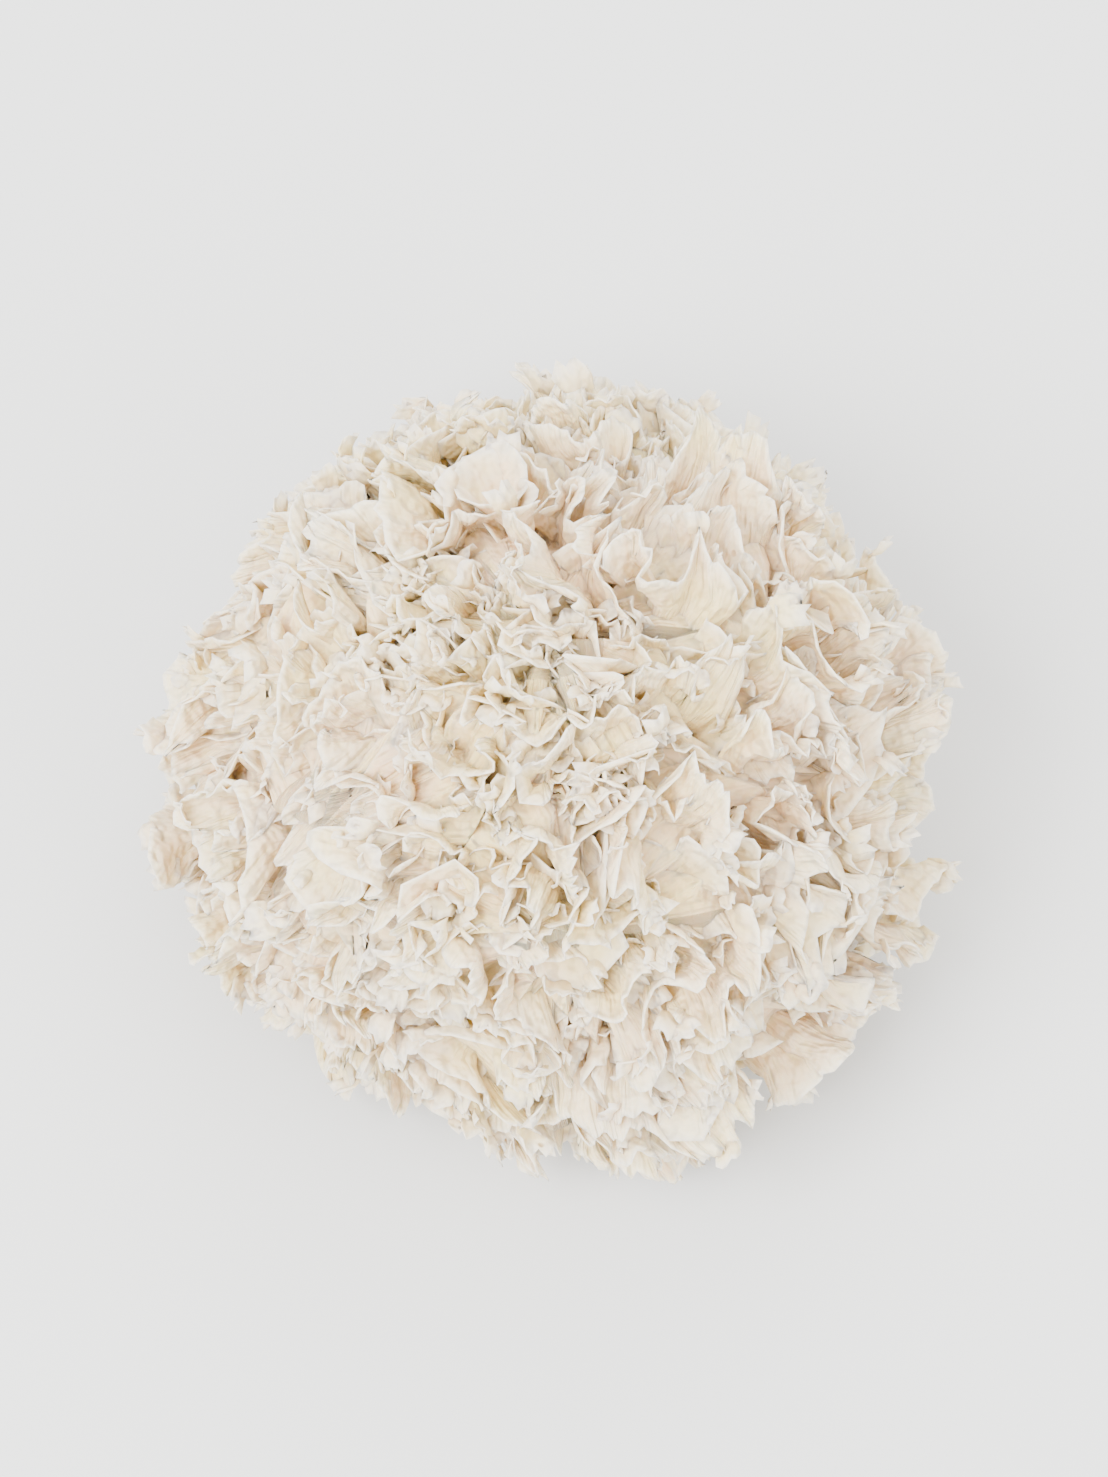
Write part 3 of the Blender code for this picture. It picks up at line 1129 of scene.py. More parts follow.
@dataclass
class Fringe:
    """The little tongues that stand along the margins of every frond, set there by geometry nodes.

    Attributes:
        centre: The growth centre, which they point away from.
        shapes: The shapes that the tongues have.
        density: How many stand on a square metre near a margin.
        least_rim: How near the margin they stand, from 0 far away to 1 on it.
        sizes: Their least and greatest size against their shape's own.
        lean: How far they lean off the sheet that they stand on.
        turn: The greatest random turn about each of their own axes.
    """

    centre: np.ndarray
    shapes: tuple[Tongue, ...] = (
        Tongue(0.0052, 0.0036, 0.0018, 0.00070, 0.0004, 1),
        Tongue(0.0044, 0.0042, -0.0016, 0.00060, -0.0006, 2),
        Tongue(0.0062, 0.0034, 0.0014, 0.00090, 0.0002, 3),
        Tongue(0.0048, 0.0038, -0.0022, 0.00065, 0.0008, 4),
        Tongue(0.0038, 0.0032, 0.0009, 0.00070, -0.0003, 5),
    )
    density: float = 12500.0
    least_rim: float = 0.06
    sizes: Range = (0.45, 0.95)
    lean: Range = (0.10, 0.80)
    turn: Place = (0.35, 0.45, 0.9)

    def __post_init__(self) -> None:
        """Builds the shapes, kept out of the scene, and the tree that sets them in place."""
        self.kinds = bpy.data.collections.new("tongues")
        for shape in self.shapes:
            self.kinds.objects.link(shape.build())
        self.graph = self.nodes()

    def nodes(self) -> GeometryGraph:
        """Builds the tree that sets the tongues on a mesh.

        Returns:
            The tree, with a named input for every size.
        """
        graph = GeometryGraph("margin_fringe")
        kinds = graph.input("Tongues", "NodeSocketCollection")
        density = graph.input("Density", "NodeSocketFloat")
        least_rim = graph.input("Least rim", "NodeSocketFloat")
        centre = graph.input("Growth centre", "NodeSocketVector")
        least = graph.input("Least size", "NodeSocketFloat")
        most = graph.input("Greatest size", "NodeSocketFloat")
        seed = graph.input("Seed", "NodeSocketInt")
        finish = graph.input("Finish", "NodeSocketMaterial")
        rim = graph.value("GeometryNodeInputNamedAttribute", {"data_type": "FLOAT"}, Name=Trait.RIM.value)
        above = {"data_type": "FLOAT", "operation": "GREATER_THAN"}
        spots = graph.add(
            "GeometryNodeDistributePointsOnFaces",
            Mesh=graph.geometry,
            Selection=graph.value("FunctionNodeCompare", above, A=rim, B=least_rim),
            Density=density,
            Seed=seed,
        )
        normal = spots.outputs["Normal"]
        away = graph.sum("ShaderNodeVectorMath", "SUBTRACT", graph.value("GeometryNodeInputPosition"), centre)
        outwards = graph.sum("ShaderNodeVectorMath", "NORMALIZE", away)
        lean = graph.chance("FLOAT", *self.lean, seed=1)
        aside = graph.value("ShaderNodeVectorMath", {"operation": "SCALE"}, Vector=normal, Scale=lean)
        heading = graph.sum("ShaderNodeVectorMath", "ADD", outwards, aside)
        upright = graph.value("FunctionNodeAlignRotationToVector", {"axis": "Z"}, Vector=heading)
        faced = graph.value(
            "FunctionNodeAlignRotationToVector",
            {"axis": "Y", "pivot_axis": "Z"},
            Rotation=upright,
            Vector=normal,
        )
        turn = graph.chance("FLOAT_VECTOR", tuple(-angle for angle in self.turn), self.turn, seed=2)
        turned = graph.value(
            "FunctionNodeRotateRotation",
            {"rotation_space": "LOCAL"},
            Rotation=faced,
            Rotate_By=graph.value("FunctionNodeEulerToRotation", Euler=turn),
        )
        tongues = graph.value(
            "GeometryNodeInstanceOnPoints",
            Points=spots.outputs["Points"],
            Instance=graph.value("GeometryNodeCollectionInfo", Collection=kinds, Separate_Children=True),
            Pick_Instance=True,
            Instance_Index=graph.chance("INT", 0, len(self.shapes) - 1, seed=3),
            Rotation=turned,
            Scale=graph.chance("FLOAT", least, most, seed=4),
        )
        joined = graph.add("GeometryNodeJoinGeometry")
        graph.feed(joined.inputs[0], graph.geometry)
        graph.feed(joined.inputs[0], tongues)
        real = graph.value("GeometryNodeRealizeInstances", Geometry=joined.outputs[0])
        graph.finish(graph.value("GeometryNodeSetMaterial", Geometry=real, Material=finish))
        return graph

    def grow_on(self, made: bpy.types.Object, index: int, material: bpy.types.Material) -> None:
        """Grows the tongues on a frond and joins them to its mesh.

        Args:
            made: The frond's object.
            index: Its place among the fronds, which seeds the places.
            material: The finish of the tongues and the frond.
        """
        modifier = made.modifiers.new("fringe", "NODES")
        modifier.node_group = self.graph.tree
        settings = {
            "Tongues": self.kinds,
            "Density": self.density,
            "Least rim": self.least_rim,
            "Growth centre": self.centre.tolist(),
            "Least size": self.sizes[0],
            "Greatest size": self.sizes[1],
            "Seed": index,
            "Finish": material,
        }
        for name, value in settings.items():
            modifier[self.graph.keys[name]] = value
        evaluated = made.evaluated_get(bpy.context.evaluated_depsgraph_get())
        mesh = bpy.data.meshes.new_from_object(evaluated)
        made.modifiers.clear()
        old, made.data = made.data, mesh
        mesh.name = made.name
        bpy.data.meshes.remove(old)

    def clear(self) -> None:
        """Removes the shapes and the tree once every frond has its fringe."""
        for shape in list(self.kinds.objects):
            bpy.data.objects.remove(shape)
        bpy.data.collections.remove(self.kinds)
        bpy.data.node_groups.remove(self.graph.tree)


@dataclass
class Frond:
    """A frond: its stem, and the lobes that it forks into.

    Attributes:
        shape: The head it belongs to.
        index: Its place among the fronds, from 0.
        lobe_turns: The turn of each lobe round the frond's axis.
        lobe_offset: How far out the lobes stand, as a share of the cell.
        lobe_waves: The numbers of waves that a winding may have.
        tightness: The least and greatest tightness of a winding.
        rounding: How round the area is that a winding fills.
        winding_edge: The room between a winding and the walls of its cell.
        line_points: How many points a winding has.
        cad_columns: How many columns a lobe has in the CAD part.
        stem_rings: How far out each ring of the stem lies, and the share of the cell that it fills.
        stem_top: How far out the stem's top lies.
        stem_unevenness: The share by which its sides vary.
        knob_height: How far its flesh rises and sinks between the lobes.
        knob_span: How far out that begins and is whole.
        least_height: How far above the resting surface the lowest tips stay.
        greatest_reach: How far out the tips may stand.
        settle_tuck: How much less far they may stand under the head.
        tuck_span: How far down that begins and is whole.
        press: The distance from a limit at which it begins to be felt.
        first_seed: The seed of the first frond's own draws.
    """

    shape: HeadShape
    index: int
    lobe_turns: tuple[float, ...] = tuple(map(math.radians, (210.0, 90.0, 330.0)))
    lobe_offset: float = 0.52
    lobe_waves: tuple[float, ...] = (1.5, 2.0, 2.0, 2.5)
    tightness: Range = (1.35, 1.60)
    rounding: float = 0.94
    winding_edge: float = 0.0009 / 0.034
    line_points: int = 321
    cad_columns: int = 13
    stem_sides: int = 48
    stem_rings: tuple[Range, ...] = (
        (0.0103, 0.85),
        (0.0150, 0.93),
        (0.0200, 0.97),
        (0.0250, 1.02),
        (0.0310, 1.02),
        (0.0352, 1.02),
        (0.0378, 1.01),
        (0.0392, 0.82),
        (0.0398, 0.58),
        (0.0402, 0.28),
    )
    stem_top: float = 0.0403
    stem_unevenness: float = 0.02
    knob_height: float = 0.0026
    knob_span: Range = (0.020, 0.036)
    least_height: float = 0.0004
    greatest_reach: float = 0.0540
    settle_tuck: float = 0.09
    tuck_span: Range = (0.0, 0.36)
    press: float = 0.0009
    first_seed: int = 500

    @property
    def name(self) -> str:
        """The CAD node that the frond stands for."""
        return f"frond_{self.index + 1:02d}"

    def winding(self, rng: np.random.Generator) -> np.ndarray:
        """Winds a fine line to and fro until it fills the unit circle.

        Args:
            rng: The source that the CAD part draws from.

        Returns:
            The line's points.
        """
        count = rng.choice(self.lobe_waves)
        tight = rng.uniform(*self.tightness)
        phase = rng.uniform(0.0, FULL_TURN)
        heading = tight * np.sin(FULL_TURN * count * np.linspace(0.0, 1.0, self.line_points) + phase)
        line = np.cumsum(on_circle(heading), axis=0)
        low, high = line.min(axis=0), line.max(axis=0)
        line = (line - (low + high) / 2.0) / (high - low) * 2.0
        line[:, 1] *= np.sqrt(1.0 - (self.rounding * line[:, 0]) ** 2)
        return line

    def lobes(self, axis: np.ndarray, walls: list[np.ndarray], rng: np.random.Generator) -> list[Lobe]:
        """The frond's lobes, with the same windings as in the CAD part.

        Args:
            axis: The frond's direction.
            walls: The walls of its cell.
            rng: The source that the CAD part draws from, in the same order.

        Returns:
            The lobes.
        """
        shape = self.shape
        frame = tangent_frame(axis, rng.uniform(0.0, FULL_TURN))
        turns = np.array(self.lobe_turns)
        spread = self.lobe_offset * shape.cell_reach(walls, axis, frame, turns, 0.0)
        centres = to_rays(on_circle(turns) * spread[:, None], axis, frame)
        found = []
        for k, centre in enumerate(centres):
            own_walls = walls + [unit(centre - other) for j, other in enumerate(centres) if j != k]
            line = self.winding(rng)
            own_frame = tangent_frame(centre, rng.uniform(0.0, math.pi))
            line_turns = np.arctan2(line[:, 1], line[:, 0])
            reach = shape.cell_reach(own_walls, centre, own_frame, line_turns, self.winding_edge)
            # The CAD part draws the heights of its margin here.
            rng.uniform(0.0, 1.0, self.cad_columns)
            found.append(Lobe(shape, centre, own_walls, line * reach[:, None], own_frame))
        return found

    def stem(self, axis: np.ndarray, walls: list[np.ndarray], rng: np.random.Generator) -> Shell:
        """The stem, which widens with its cell and ends in a low round top where the lobes part.

        Args:
            axis: The frond's direction.
            walls: The walls of its cell.
            rng: The seeded source of its uneven flesh.

        Returns:
            The closed stem.
        """
        frame = tangent_frame(axis, 0.0)
        turns = even_turns(self.stem_sides)
        reach = self.shape.cell_reach(walls, axis, frame, turns, 0.0)
        rings = []
        for radius, share in self.stem_rings:
            uneven = rng.uniform(-1.0, 1.0, (2, self.stem_sides))
            spread = share * reach * (1.0 - self.stem_unevenness * np.abs(uneven[0]))
            knobs = radius + self.knob_height * smooth_step(*self.knob_span, radius) * uneven[1]
            rings.append(to_rays(on_circle(turns) * spread[:, None], axis, frame) * knobs[:, None])
        points = self.shape.grown(np.concatenate(rings + [axis[None] * self.stem_top]))
        return Shell(
            points=points,
            faces=[tuple(reversed(range(len(turns))))] + Shell.bands(0, len(turns), len(rings)),
            growth=self.shape.growth(points),
            rim=np.zeros(len(points)),
            vein=np.append(np.tile(turns, len(rings)), 0.0),
        )

    def build(
        self,
        axis: np.ndarray,
        walls: list[np.ndarray],
        cad_rng: np.random.Generator,
        material: bpy.types.Material,
        fringe: Fringe,
    ) -> bpy.types.Object:
        """Builds the frond and puts it in its node's place.

        Args:
            axis: The frond's direction.
            walls: The walls of its cell.
            cad_rng: The source that the CAD part draws from.
            material: The finish of the fronds.
            fringe: The little tongues that grow along its margins.

        Returns:
            The frond's object.
        """
        rng = np.random.default_rng(self.first_seed + self.index)
        shells = [self.stem(axis, walls, rng)]
        for lobe in self.lobes(axis, walls, cad_rng):
            shells += lobe.shells(rng)
        made = Shell.to_object(shells, f"{self.name}_ruffles", material)
        fringe.grow_on(made, self.index, material)
        self.settle(made.data)
        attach(made, BODY)
        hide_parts(self.name)
        report(made)
        return made

    def pressed(self, room: np.ndarray) -> np.ndarray:
        """The room to a limit, eased so that none of it falls below 0."""
        return self.press * np.logaddexp(0.0, room / self.press)

    def settle(self, mesh: bpy.types.Mesh) -> None:
        """Presses in the tips that stand too far out, and bends up the lowest ones.

        Args:
            mesh: The frond's mesh, which is changed in place.
        """
        places = np.empty(3 * len(mesh.vertices), dtype=np.float32)
        mesh.vertices.foreach_get("co", places)
        points = places.reshape(-1, 3).astype(float) - self.shape.centre
        distance = np.linalg.norm(points, axis=-1, keepdims=True)
        tuck = smooth_step(*self.tuck_span, -points[:, 2:] / distance)
        limit = self.greatest_reach * (1.0 - self.settle_tuck * tuck)
        points *= (limit - self.pressed(limit - distance)) / distance
        points += self.shape.centre
        points[:, 2] = self.least_height + self.pressed(points[:, 2] - self.least_height)
        mesh.vertices.foreach_set("co", points.astype(np.float32).reshape(-1))
        mesh.update()


@dataclass(frozen=True)
class Folds:
    """Even folds round a ring: their depth, their number and their phase."""

    depth: float
    count: float
    phase: float = 0.0

    def at(self, turns: np.ndarray) -> np.ndarray:
        """Their height at each turn."""
        return self.depth * np.sin(self.count * turns + self.phase)


@dataclass
class CutBase:
    """The cut base: the flat cut, the wrinkled foot above it and the core that the fronds grow from.

    Attributes:
        shape: The head it belongs to.
        cut_radius: Where its rim trait is 1.
        greatest_rim: The greatest value of that trait.
        foot: The height and radius of each ring of the foot.
        fold_height: The height at which the folds are whole.
        outline: The waves of its outline.
        folds: The wrinkles round it.
        fold_sway: How those wrinkles crowd and spread.
        fine_folds: The finer wrinkles between them.
        lift: How the rings above the cut rise and fall.
        core_folds: The share of the folds that the core has.
        core_polar: The angle from the crown at which the core begins.
    """

    shape: HeadShape
    cut_radius: float = 0.0150
    greatest_rim: float = 1.2
    foot: tuple[Range, ...] = (
        (0.0, 0.0152),
        (0.0003, 0.0158),
        (0.0009, 0.0162),
        (0.0016, 0.0163),
        (0.0026, 0.0157),
        (0.0040, 0.0144),
        (0.0056, 0.0128),
        (0.0072, 0.0112),
        (0.0088, 0.0098),
    )
    fold_height: float = 0.003
    outline: tuple[Folds, ...] = (Folds(0.05, 2.0, 0.5), Folds(0.035, 5.0, 1.9))
    folds: Folds = Folds(0.018, 17.0)
    fold_sway: Folds = Folds(1.2 / 17.0, 3.0)
    fine_folds: Folds = Folds(0.010, 31.0, 0.7)
    lift: Folds = Folds(0.00016, 9.0, 2.0)
    core_folds: float = 0.4
    core_polar: float = math.radians(128.0)
    sides: int = 120
    cut_rings: int = 14
    core_rings: int = 10

    def rings(self) -> list[np.ndarray]:
        """The rings of points from the middle of the cut out, up the foot and over the core.

        Returns:
            The rings, with one point before them and one after them.
        """
        turns = even_turns(self.sides)
        around = on_circle(turns)
        uneven = 1.0 + sum(wave.at(turns) for wave in self.outline)
        fold = self.folds.at(turns + self.fold_sway.at(turns)) + self.fine_folds.at(turns)
        cut = [(0.0, self.foot[0][1] * ring / self.cut_rings) for ring in range(1, self.cut_rings)]
        found = [np.zeros((1, 3))]
        for height, radius in cut + list(self.foot):
            wide = radius * uneven * (1.0 + min(1.0, height / self.fold_height) * fold)
            rise = height + (self.lift.at(turns) if height > 0.0 else np.zeros(self.sides))
            found.append(np.column_stack([wide[:, None] * around, rise]))
        core = self.shape.core_radius
        for polar in self.core_polar * (1.0 - np.arange(self.core_rings) / self.core_rings):
            wide = core * math.sin(polar) * (1.0 + self.core_folds * fold)
            rise = np.full(self.sides, self.shape.centre_height + core * math.cos(polar))
            found.append(np.column_stack([wide[:, None] * around, rise]))
        return found + [self.shape.centre[None] + (0.0, 0.0, core)]

    def build(self, material: bpy.types.Material) -> bpy.types.Object:
        """Builds the base as one closed piece and puts it in its node's place.

        Args:
            material: The finish of the cut base.

        Returns:
            The base's object.
        """
        rings = self.rings()
        points = np.concatenate(rings)
        cut = [(0, 1 + (side + 1) % self.sides, 1 + side) for side in range(self.sides)]
        shell = Shell(
            points=points,
            faces=cut + Shell.bands(1, self.sides, len(rings) - 2),
            growth=points[:, 2] / self.shape.head_radius,
            rim=np.clip(np.linalg.norm(points[:, :2], axis=-1) / self.cut_radius, 0.0, self.greatest_rim),
            vein=np.arctan2(points[:, 1], points[:, 0]),
        )
        made = Shell.to_object([shell], "cut_base_flesh", material)
        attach(made, BODY)
        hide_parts("base")
        report(made)
        return made


@dataclass(frozen=True)
class Grain:
    """A noise: how many grains it has in a metre or a turn, its detail and how rough that is."""

    scale: float
    detail: float
    roughness: float = 0.55


@dataclass(frozen=True)
class Ramp:
    """A smooth rise or fall from start to end, where a value is between low and high."""

    low: float
    high: float
    start: float = 0.0
    end: float = 1.0


class MaterialGraph(NodeTree):
    """A short way to build a material's nodes."""

    def __init__(self, name: str) -> None:
        """Starts a material with its shader, its output and the place on its object.

        Args:
            name: The material's name.
        """
        self.material = bpy.data.materials.new(name)
        self.material.use_nodes = True
        super().__init__(self.material.node_tree)
        self.tree.nodes.clear()
        self.shader = self.add("ShaderNodeBsdfPrincipled")
        self.add("ShaderNodeOutputMaterial", Surface=self.shader.outputs["BSDF"])
        self.place = self.add("ShaderNodeTexCoord").outputs["Object"]

    def trait(self, trait: Trait) -> Socket:
        """The value of a point attribute."""
        return self.add("ShaderNodeAttribute", {"attribute_name": trait.value}).outputs["Fac"]

    def noise(self, vector: object, grain: Grain) -> Socket:
        """A noise value between 0 and 1 at a vector."""
        sizes = {"Scale": grain.scale, "Detail": grain.detail, "Roughness": grain.roughness}
        return self.value("ShaderNodeTexNoise", Vector=vector, **sizes)

    def cells(self, scale: float) -> Socket:
        """The distance from the middle of the nearest of some scattered cells."""
        return self.value("ShaderNodeTexVoronoi", Vector=self.place, Scale=scale)

    def ramp(self, value: object, ramp: Ramp) -> Socket:
        """A value after a ramp."""
        limits = {"From_Min": ramp.low, "From_Max": ramp.high, "To_Min": ramp.start, "To_Max": ramp.end}
        return self.value("ShaderNodeMapRange", {"interpolation_type": "SMOOTHSTEP"}, Value=value, **limits)

    def plus(self, first: object, second: object) -> Socket:
        """The sum of two values."""
        return self.sum("ShaderNodeMath", "ADD", first, second)

    def times(self, first: object, second: object) -> Socket:
        """The product of two values."""
        return self.sum("ShaderNodeMath", "MULTIPLY", first, second)

    def mix(self, factor: object, first: object, second: object) -> Socket:
        """Two colours mixed."""
        return self.value("ShaderNodeMix", {"data_type": "RGBA"}, Factor=factor, A=first, B=second)

    def spread(self, along: object, out: object, turns: Place) -> Socket:
        """A place on a surface from two of its traits, each times its own number of turns."""
        flat = self.value("ShaderNodeCombineXYZ", X=along, Y=out)
        return self.value("ShaderNodeMapping", Vector=flat, Scale=turns)

    def bump(self, height: object, strength: float, distance: float) -> Socket:
        """The normals of a surface with a height on it."""
        return self.value("ShaderNodeBump", Strength=strength, Distance=distance, Height=height)

    def shade(self, **inputs: object) -> None:
        """Feeds the shader's own inputs, as in fill."""
        self.fill(self.shader, inputs)


@dataclass(frozen=True)
class DriedFlesh:
    """The finish of the fronds: cream, with straw depths, painted shade in the creases, a pale rim of painted
    light shining through the thin margins, a faint blush and fine specks.

    Attributes:
        depth: From the straw depths to the cream tips, by how far out a point lies.
        patches: The broad patches of straw and cream.
        patch_depth: How much deeper or higher a patch makes a point count.
        petal_depth: The same for the tone of each petal.
        creaminess: From straw to cream, by the depth that all these give.
        blush_patches: The patches of pinkish beige.
        petal_blush: How much a petal's tone adds to them.
        blush_share: How much blush they give.
        mottle: The small pale patches.
        mottle_share: How pale they are.
        speckled: Where among them the specks lie.
        wrinkle_turns: The turns of the wrinkles along a sheet and out over it.
        wrinkles: The wrinkles, drawn out from the root to the margin.
        crinkles: The fine crinkles all over.
        wrinkle_crease_shade: Painted shade: how straw-coloured the low parts of the wrinkles are, where shade
            falls in their creases.
        crinkle_crease_shade: The same painted shade in the creases of the crinkles.
        rim_glow_share: How pale the rim is painted, as light shining through the thin margins.
        speck_scale: How closely the specks may lie.
        speck_size: How large they are.
        speck_share: How dark they are.
        dullness: The roughness, by the crinkles.
        crinkle_height: The height of the crinkles against the wrinkles'.
        relief: The depth of both.
    """

    cream: Colour = (0.88, 0.70, 0.45, 1.0)
    pale: Colour = (0.93, 0.82, 0.65, 1.0)
    straw: Colour = (0.86, 0.67, 0.32, 1.0)
    blush: Colour = (0.85, 0.62, 0.42, 1.0)
    speck: Colour = (0.30, 0.17, 0.07, 1.0)
    depth: Ramp = Ramp(0.42, 0.98)
    patches: Grain = Grain(70.0, 3.0)
    patch_depth: Ramp = Ramp(0.32, 0.68, -0.50, 0.28)
    petal_depth: Ramp = Ramp(0.0, 1.0, -0.75, 0.14)
    creaminess: Ramp = Ramp(0.05, 0.85)
    blush_patches: Grain = Grain(44.0, 2.0)
    petal_blush: Ramp = Ramp(0.4, 0.9, 0.10, -0.10)
    blush_share: Ramp = Ramp(0.50, 0.66, 0.0, 0.80)
    mottle: Grain = Grain(130.0, 2.0)
    mottle_share: Ramp = Ramp(0.42, 0.66, 0.0, 0.25)
    speckled: Ramp = Ramp(0.60, 0.66)
    wrinkle_turns: Place = (9.0, 5.0, 1.0)
    wrinkles: Grain = Grain(1.0, 2.0, 0.65)
    crinkles: Grain = Grain(540.0, 1.0)
    wrinkle_crease_shade: Ramp = Ramp(0.30, 0.50, 0.5, 0.0)
    crinkle_crease_shade: Ramp = Ramp(0.30, 0.46, 0.3, 0.0)
    rim_glow_share: float = 0.90
    speck_scale: float = 330.0
    speck_size: Ramp = Ramp(0.10, 0.17, 1.0, 0.0)
    speck_share: float = 0.7
    dullness: Ramp = Ramp(0.3, 0.7, 0.54, 0.78)
    crinkle_height: float = 0.9
    relief: float = 0.0016

    def material(self) -> bpy.types.Material:
        """Builds the node material.

        Returns:
            The material.
        """
        graph = MaterialGraph("dried_flesh")
        place, growth, tone = graph.place, graph.trait(Trait.GROWTH), graph.trait(Trait.TONE)
        depth = graph.ramp(growth, self.depth)
        depth = graph.plus(depth, graph.ramp(graph.noise(place, self.patches), self.patch_depth))
        depth = graph.plus(depth, graph.ramp(tone, self.petal_depth))
        colour = graph.mix(graph.ramp(depth, self.creaminess), self.straw, self.cream)
        warm = graph.plus(graph.noise(place, self.blush_patches), graph.ramp(tone, self.petal_blush))
        colour = graph.mix(graph.ramp(warm, self.blush_share), colour, self.blush)
        mottle = graph.noise(place, self.mottle)
        colour = graph.mix(graph.ramp(mottle, self.mottle_share), colour, self.pale)
        stretched = graph.spread(graph.trait(Trait.VEIN), growth, self.wrinkle_turns)
        wrinkle, crinkle = graph.noise(stretched, self.wrinkles), graph.noise(place, self.crinkles)
        # Painted shade: the low parts of the wrinkles and crinkles are mixed towards straw, where shade falls
        # in their creases.
        crease_shade = graph.ramp(wrinkle, self.wrinkle_crease_shade)
        crease_shade = graph.plus(crease_shade, graph.ramp(crinkle, self.crinkle_crease_shade))
        colour = graph.mix(crease_shade, colour, self.straw)
        # Painted light: the rim is mixed towards pale, as if light shone through the thin margins.
        colour = graph.mix(graph.times(graph.trait(Trait.RIM), self.rim_glow_share), colour, self.pale)
        dots = graph.ramp(graph.cells(self.speck_scale), self.speck_size)
        dots = graph.times(dots, graph.ramp(mottle, self.speckled))
        height = graph.plus(wrinkle, graph.times(crinkle, self.crinkle_height))
        graph.shade(
            Base_Color=graph.mix(graph.times(dots, self.speck_share), colour, self.speck),
            Roughness=graph.ramp(crinkle, self.dullness),
            Normal=graph.bump(height, strength=1.0, distance=self.relief),
            Subsurface_Weight=0.40,
            Subsurface_Radius=(1.0, 0.72, 0.42),
            Subsurface_Scale=0.0014,
            IOR=1.42,
            Sheen_Weight=0.12,
        )
        return graph.material


@dataclass(frozen=True)
class CutFlesh:
    """The finish of the base: straw-coloured, fibrous at the cut, darker and duller round its edge.

    Attributes:
        fibre_turns: The turns of the fibres round the cut and out over it.
        fibres: The fibres.
        fibre_share: How pale they are.
        stains: The brown patches.
        stain_share: How brown they are.
        edge_share: How brown the edge of the cut is.
        dullness: The roughness, by the fibres.
        pit_scale: How closely the pits lie.
        pit_height: The height between the pits against the fibres'.
        relief: The depth of both.
    """

    straw: Colour = (0.66, 0.47, 0.24, 1.0)
    brown: Colour = (0.36, 0.21, 0.09, 1.0)
    pale: Colour = (0.82, 0.69, 0.46, 1.0)
    fibre_turns: Place = (14.0, 3.0, 1.0)
    fibres: Grain = Grain(1.0, 5.0, 0.65)
    fibre_share: Ramp = Ramp(0.35, 0.68)
    stains: Grain = Grain(160.0, 4.0)
    stain_share: Ramp = Ramp(0.45, 0.72, 0.0, 0.7)
    edge_share: Ramp = Ramp(0.82, 1.04, 0.0, 0.55)
    dullness: Ramp = Ramp(0.3, 0.7, 0.70, 0.92)
    pit_scale: float = 700.0
    pit_height: float = 0.5
    relief: float = 0.0005

    def material(self) -> bpy.types.Material:
        """Builds the node material.

        Returns:
            The material.
        """
        graph = MaterialGraph("cut_flesh")
        rim = graph.trait(Trait.RIM)
        fibre = graph.noise(graph.spread(graph.trait(Trait.VEIN), rim, self.fibre_turns), self.fibres)
        stains = graph.ramp(graph.noise(graph.place, self.stains), self.stain_share)
        colour = graph.mix(graph.ramp(fibre, self.fibre_share), self.straw, self.pale)
        colour = graph.mix(stains, colour, self.brown)
        height = graph.plus(fibre, graph.times(graph.cells(self.pit_scale), self.pit_height))
        graph.shade(
            Base_Color=graph.mix(graph.ramp(rim, self.edge_share), colour, self.brown),
            Roughness=graph.ramp(fibre, self.dullness),
            Normal=graph.bump(height, strength=0.7, distance=self.relief),
            Subsurface_Weight=0.10,
            Subsurface_Radius=(1.0, 0.6, 0.3),
            Subsurface_Scale=0.0015,
        )
        return graph.material


@dataclass(frozen=True)
class Lamp:
    """A soft square lamp: its name, where it hangs, its side and its power in watts."""

    name: str
    place: Place
    side: float
    power: float


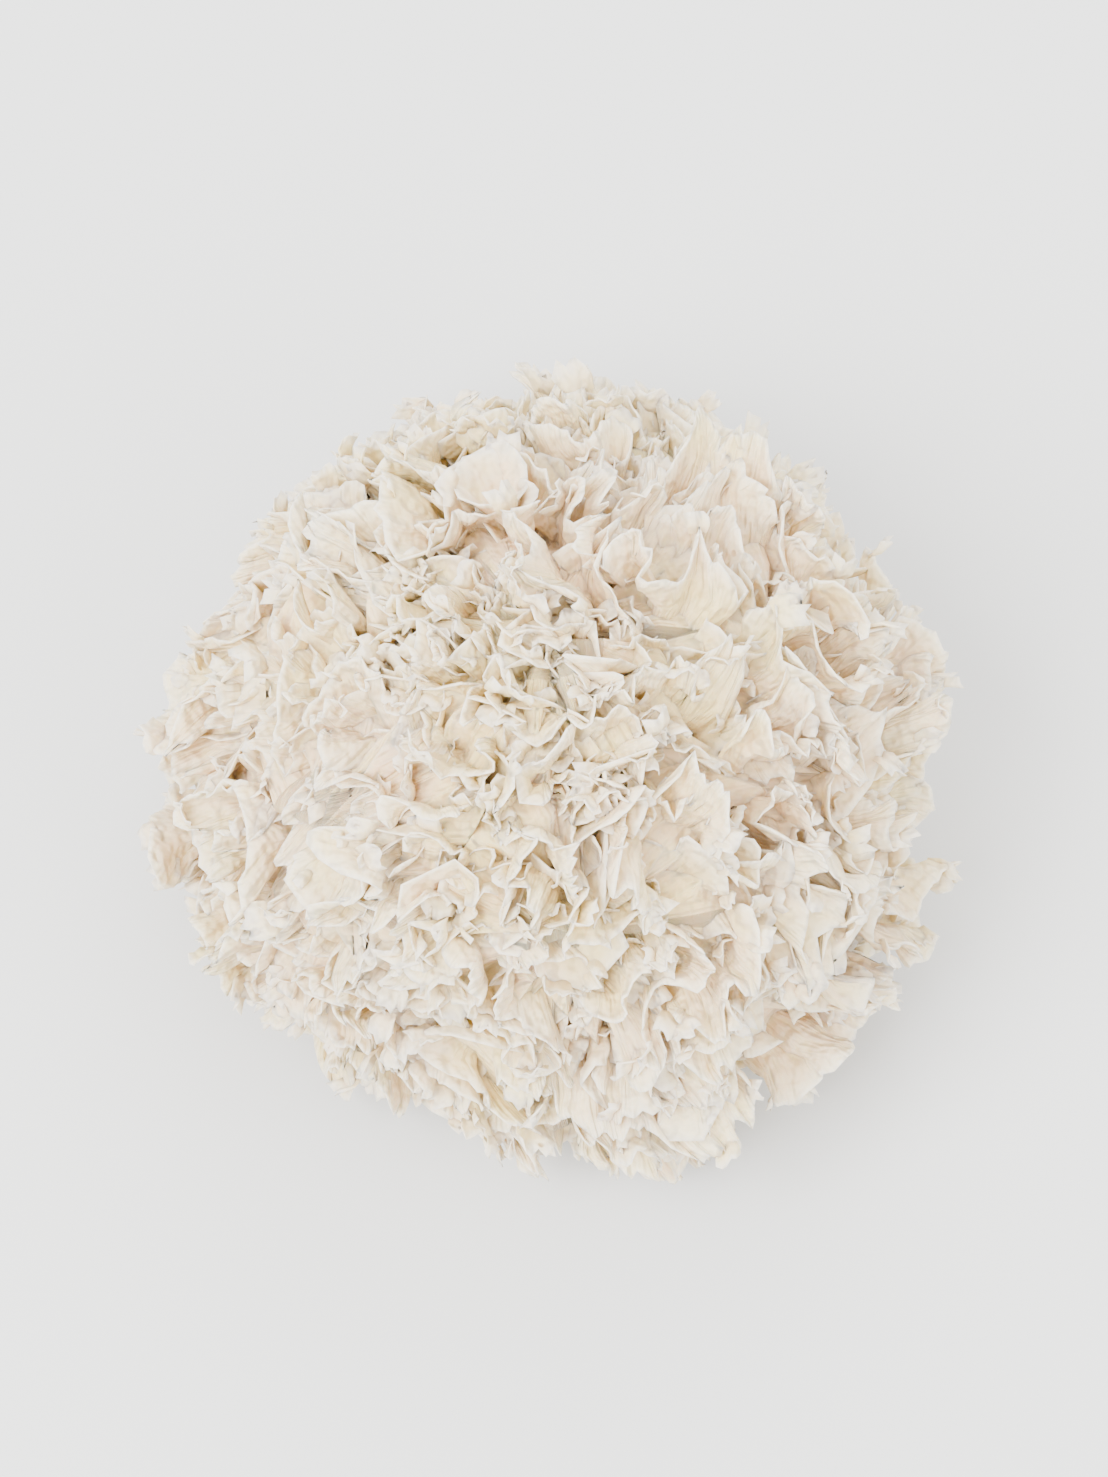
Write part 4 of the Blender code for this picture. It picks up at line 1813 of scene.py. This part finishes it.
@dataclass
class Studio:
    """The pale floor, the soft light and the camera that looks down on the crown.

    Attributes:
        floor_height: Where the floor lies, a hair below the cut.
        floor_half: Half the floor's side.
        tints: The two tones that the floor is mottled with.
        mottle: That mottling.
        target: What the camera and the lamps face.
        view: The camera's angle from straight up and its azimuth.
        distance: How far away the camera is.
        lens: Its focal length in millimetres.
        lamps: The lamps.
        sky: The colour of the light from all round.
        sky_strength: Its strength.
    """

    floor_height: float = -0.0003
    floor_half: float = 1.6
    tints: tuple[Colour, Colour] = ((0.60, 0.61, 0.61, 1.0), (0.65, 0.66, 0.66, 1.0))
    mottle: Grain = Grain(3.0, 3.0)
    target: Place = (0.0, 0.0, 0.030)
    view: Range = (math.radians(20.0), math.radians(180.0))
    distance: float = 0.62
    lens: float = 132.0
    lamps: tuple[Lamp, ...] = (
        Lamp("key", (-0.35, 0.55, 0.95), 0.7, 31.0),
        Lamp("fill", (-0.45, -0.75, 0.60), 0.9, 10.0),
        Lamp("back", (0.85, -0.10, 0.70), 0.8, 10.0),
    )
    sky: Colour = (1.0, 0.99, 0.97, 1.0)
    sky_strength: float = 2.5

    def floor(self) -> None:
        """Lays the floor, a wide plain sheet that isn't part of the object."""
        mesh = bpy.data.meshes.new("floor")
        half, height = self.floor_half, self.floor_height
        corners = [(-half, -half, height), (half, -half, height), (half, half, height), (-half, half, height)]
        mesh.from_pydata(corners, [], [(0, 1, 2, 3)])
        graph = MaterialGraph("floor")
        graph.shade(Base_Color=graph.mix(graph.noise(graph.place, self.mottle), *self.tints), Roughness=0.85)
        mesh.materials.append(graph.material)
        floor = bpy.data.objects.new("floor", mesh)
        bpy.context.scene.collection.objects.link(floor)

    def hang(self, data: bpy.types.ID, place: Place) -> bpy.types.Object:
        """Puts a lamp or a camera in the scene.

        Args:
            data: The lamp or the camera.
            place: Where it hangs.

        Returns:
            Its object, which faces the head.
        """
        made = bpy.data.objects.new(data.name, data)
        made.location = place
        made.rotation_euler = (Vector(self.target) - Vector(place)).to_track_quat("-Z", "Y").to_euler()
        bpy.context.scene.collection.objects.link(made)
        return made

    def build(self) -> None:
        """Sets the whole studio up."""
        self.floor()
        for lamp in self.lamps:
            light = bpy.data.lights.new(lamp.name, "AREA")
            light.size = lamp.side
            light.energy = lamp.power
            self.hang(light, lamp.place)
        world = bpy.data.worlds.new("studio")
        world.use_nodes = True
        background = world.node_tree.nodes["Background"]
        background.inputs["Color"].default_value = self.sky
        background.inputs["Strength"].default_value = self.sky_strength
        bpy.context.scene.world = world
        lens = bpy.data.cameras.new("camera")
        lens.lens = self.lens
        lens.clip_start = 0.01
        place = np.array(self.target) + self.distance * direction(*self.view)
        bpy.context.scene.camera = self.hang(lens, tuple(place))


@dataclass
class SnowFungusHead:
    """The whole head: the cut base and its fronds."""

    shape: HeadShape = field(default_factory=HeadShape)
    seed: int = 11

    def build(self) -> None:
        """Builds the base and every frond."""
        CutBase(self.shape).build(CutFlesh().material())
        flesh = DriedFlesh().material()
        fringe = Fringe(self.shape.centre)
        rng = np.random.default_rng(self.seed)
        angles = self.shape.frond_angles(rng)
        for index, pair in enumerate(angles):
            walls = self.shape.cell_walls(angles, index)
            Frond(self.shape, index).build(direction(*pair), walls, rng, flesh, fringe)
        fringe.clear()


def main() -> None:
    """Builds the head over the frame, then the studio."""
    logging.basicConfig(level=logging.INFO, format="%(message)s")
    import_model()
    SnowFungusHead().build()
    Studio().build()
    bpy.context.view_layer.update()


if __name__ == "__main__":
    main()
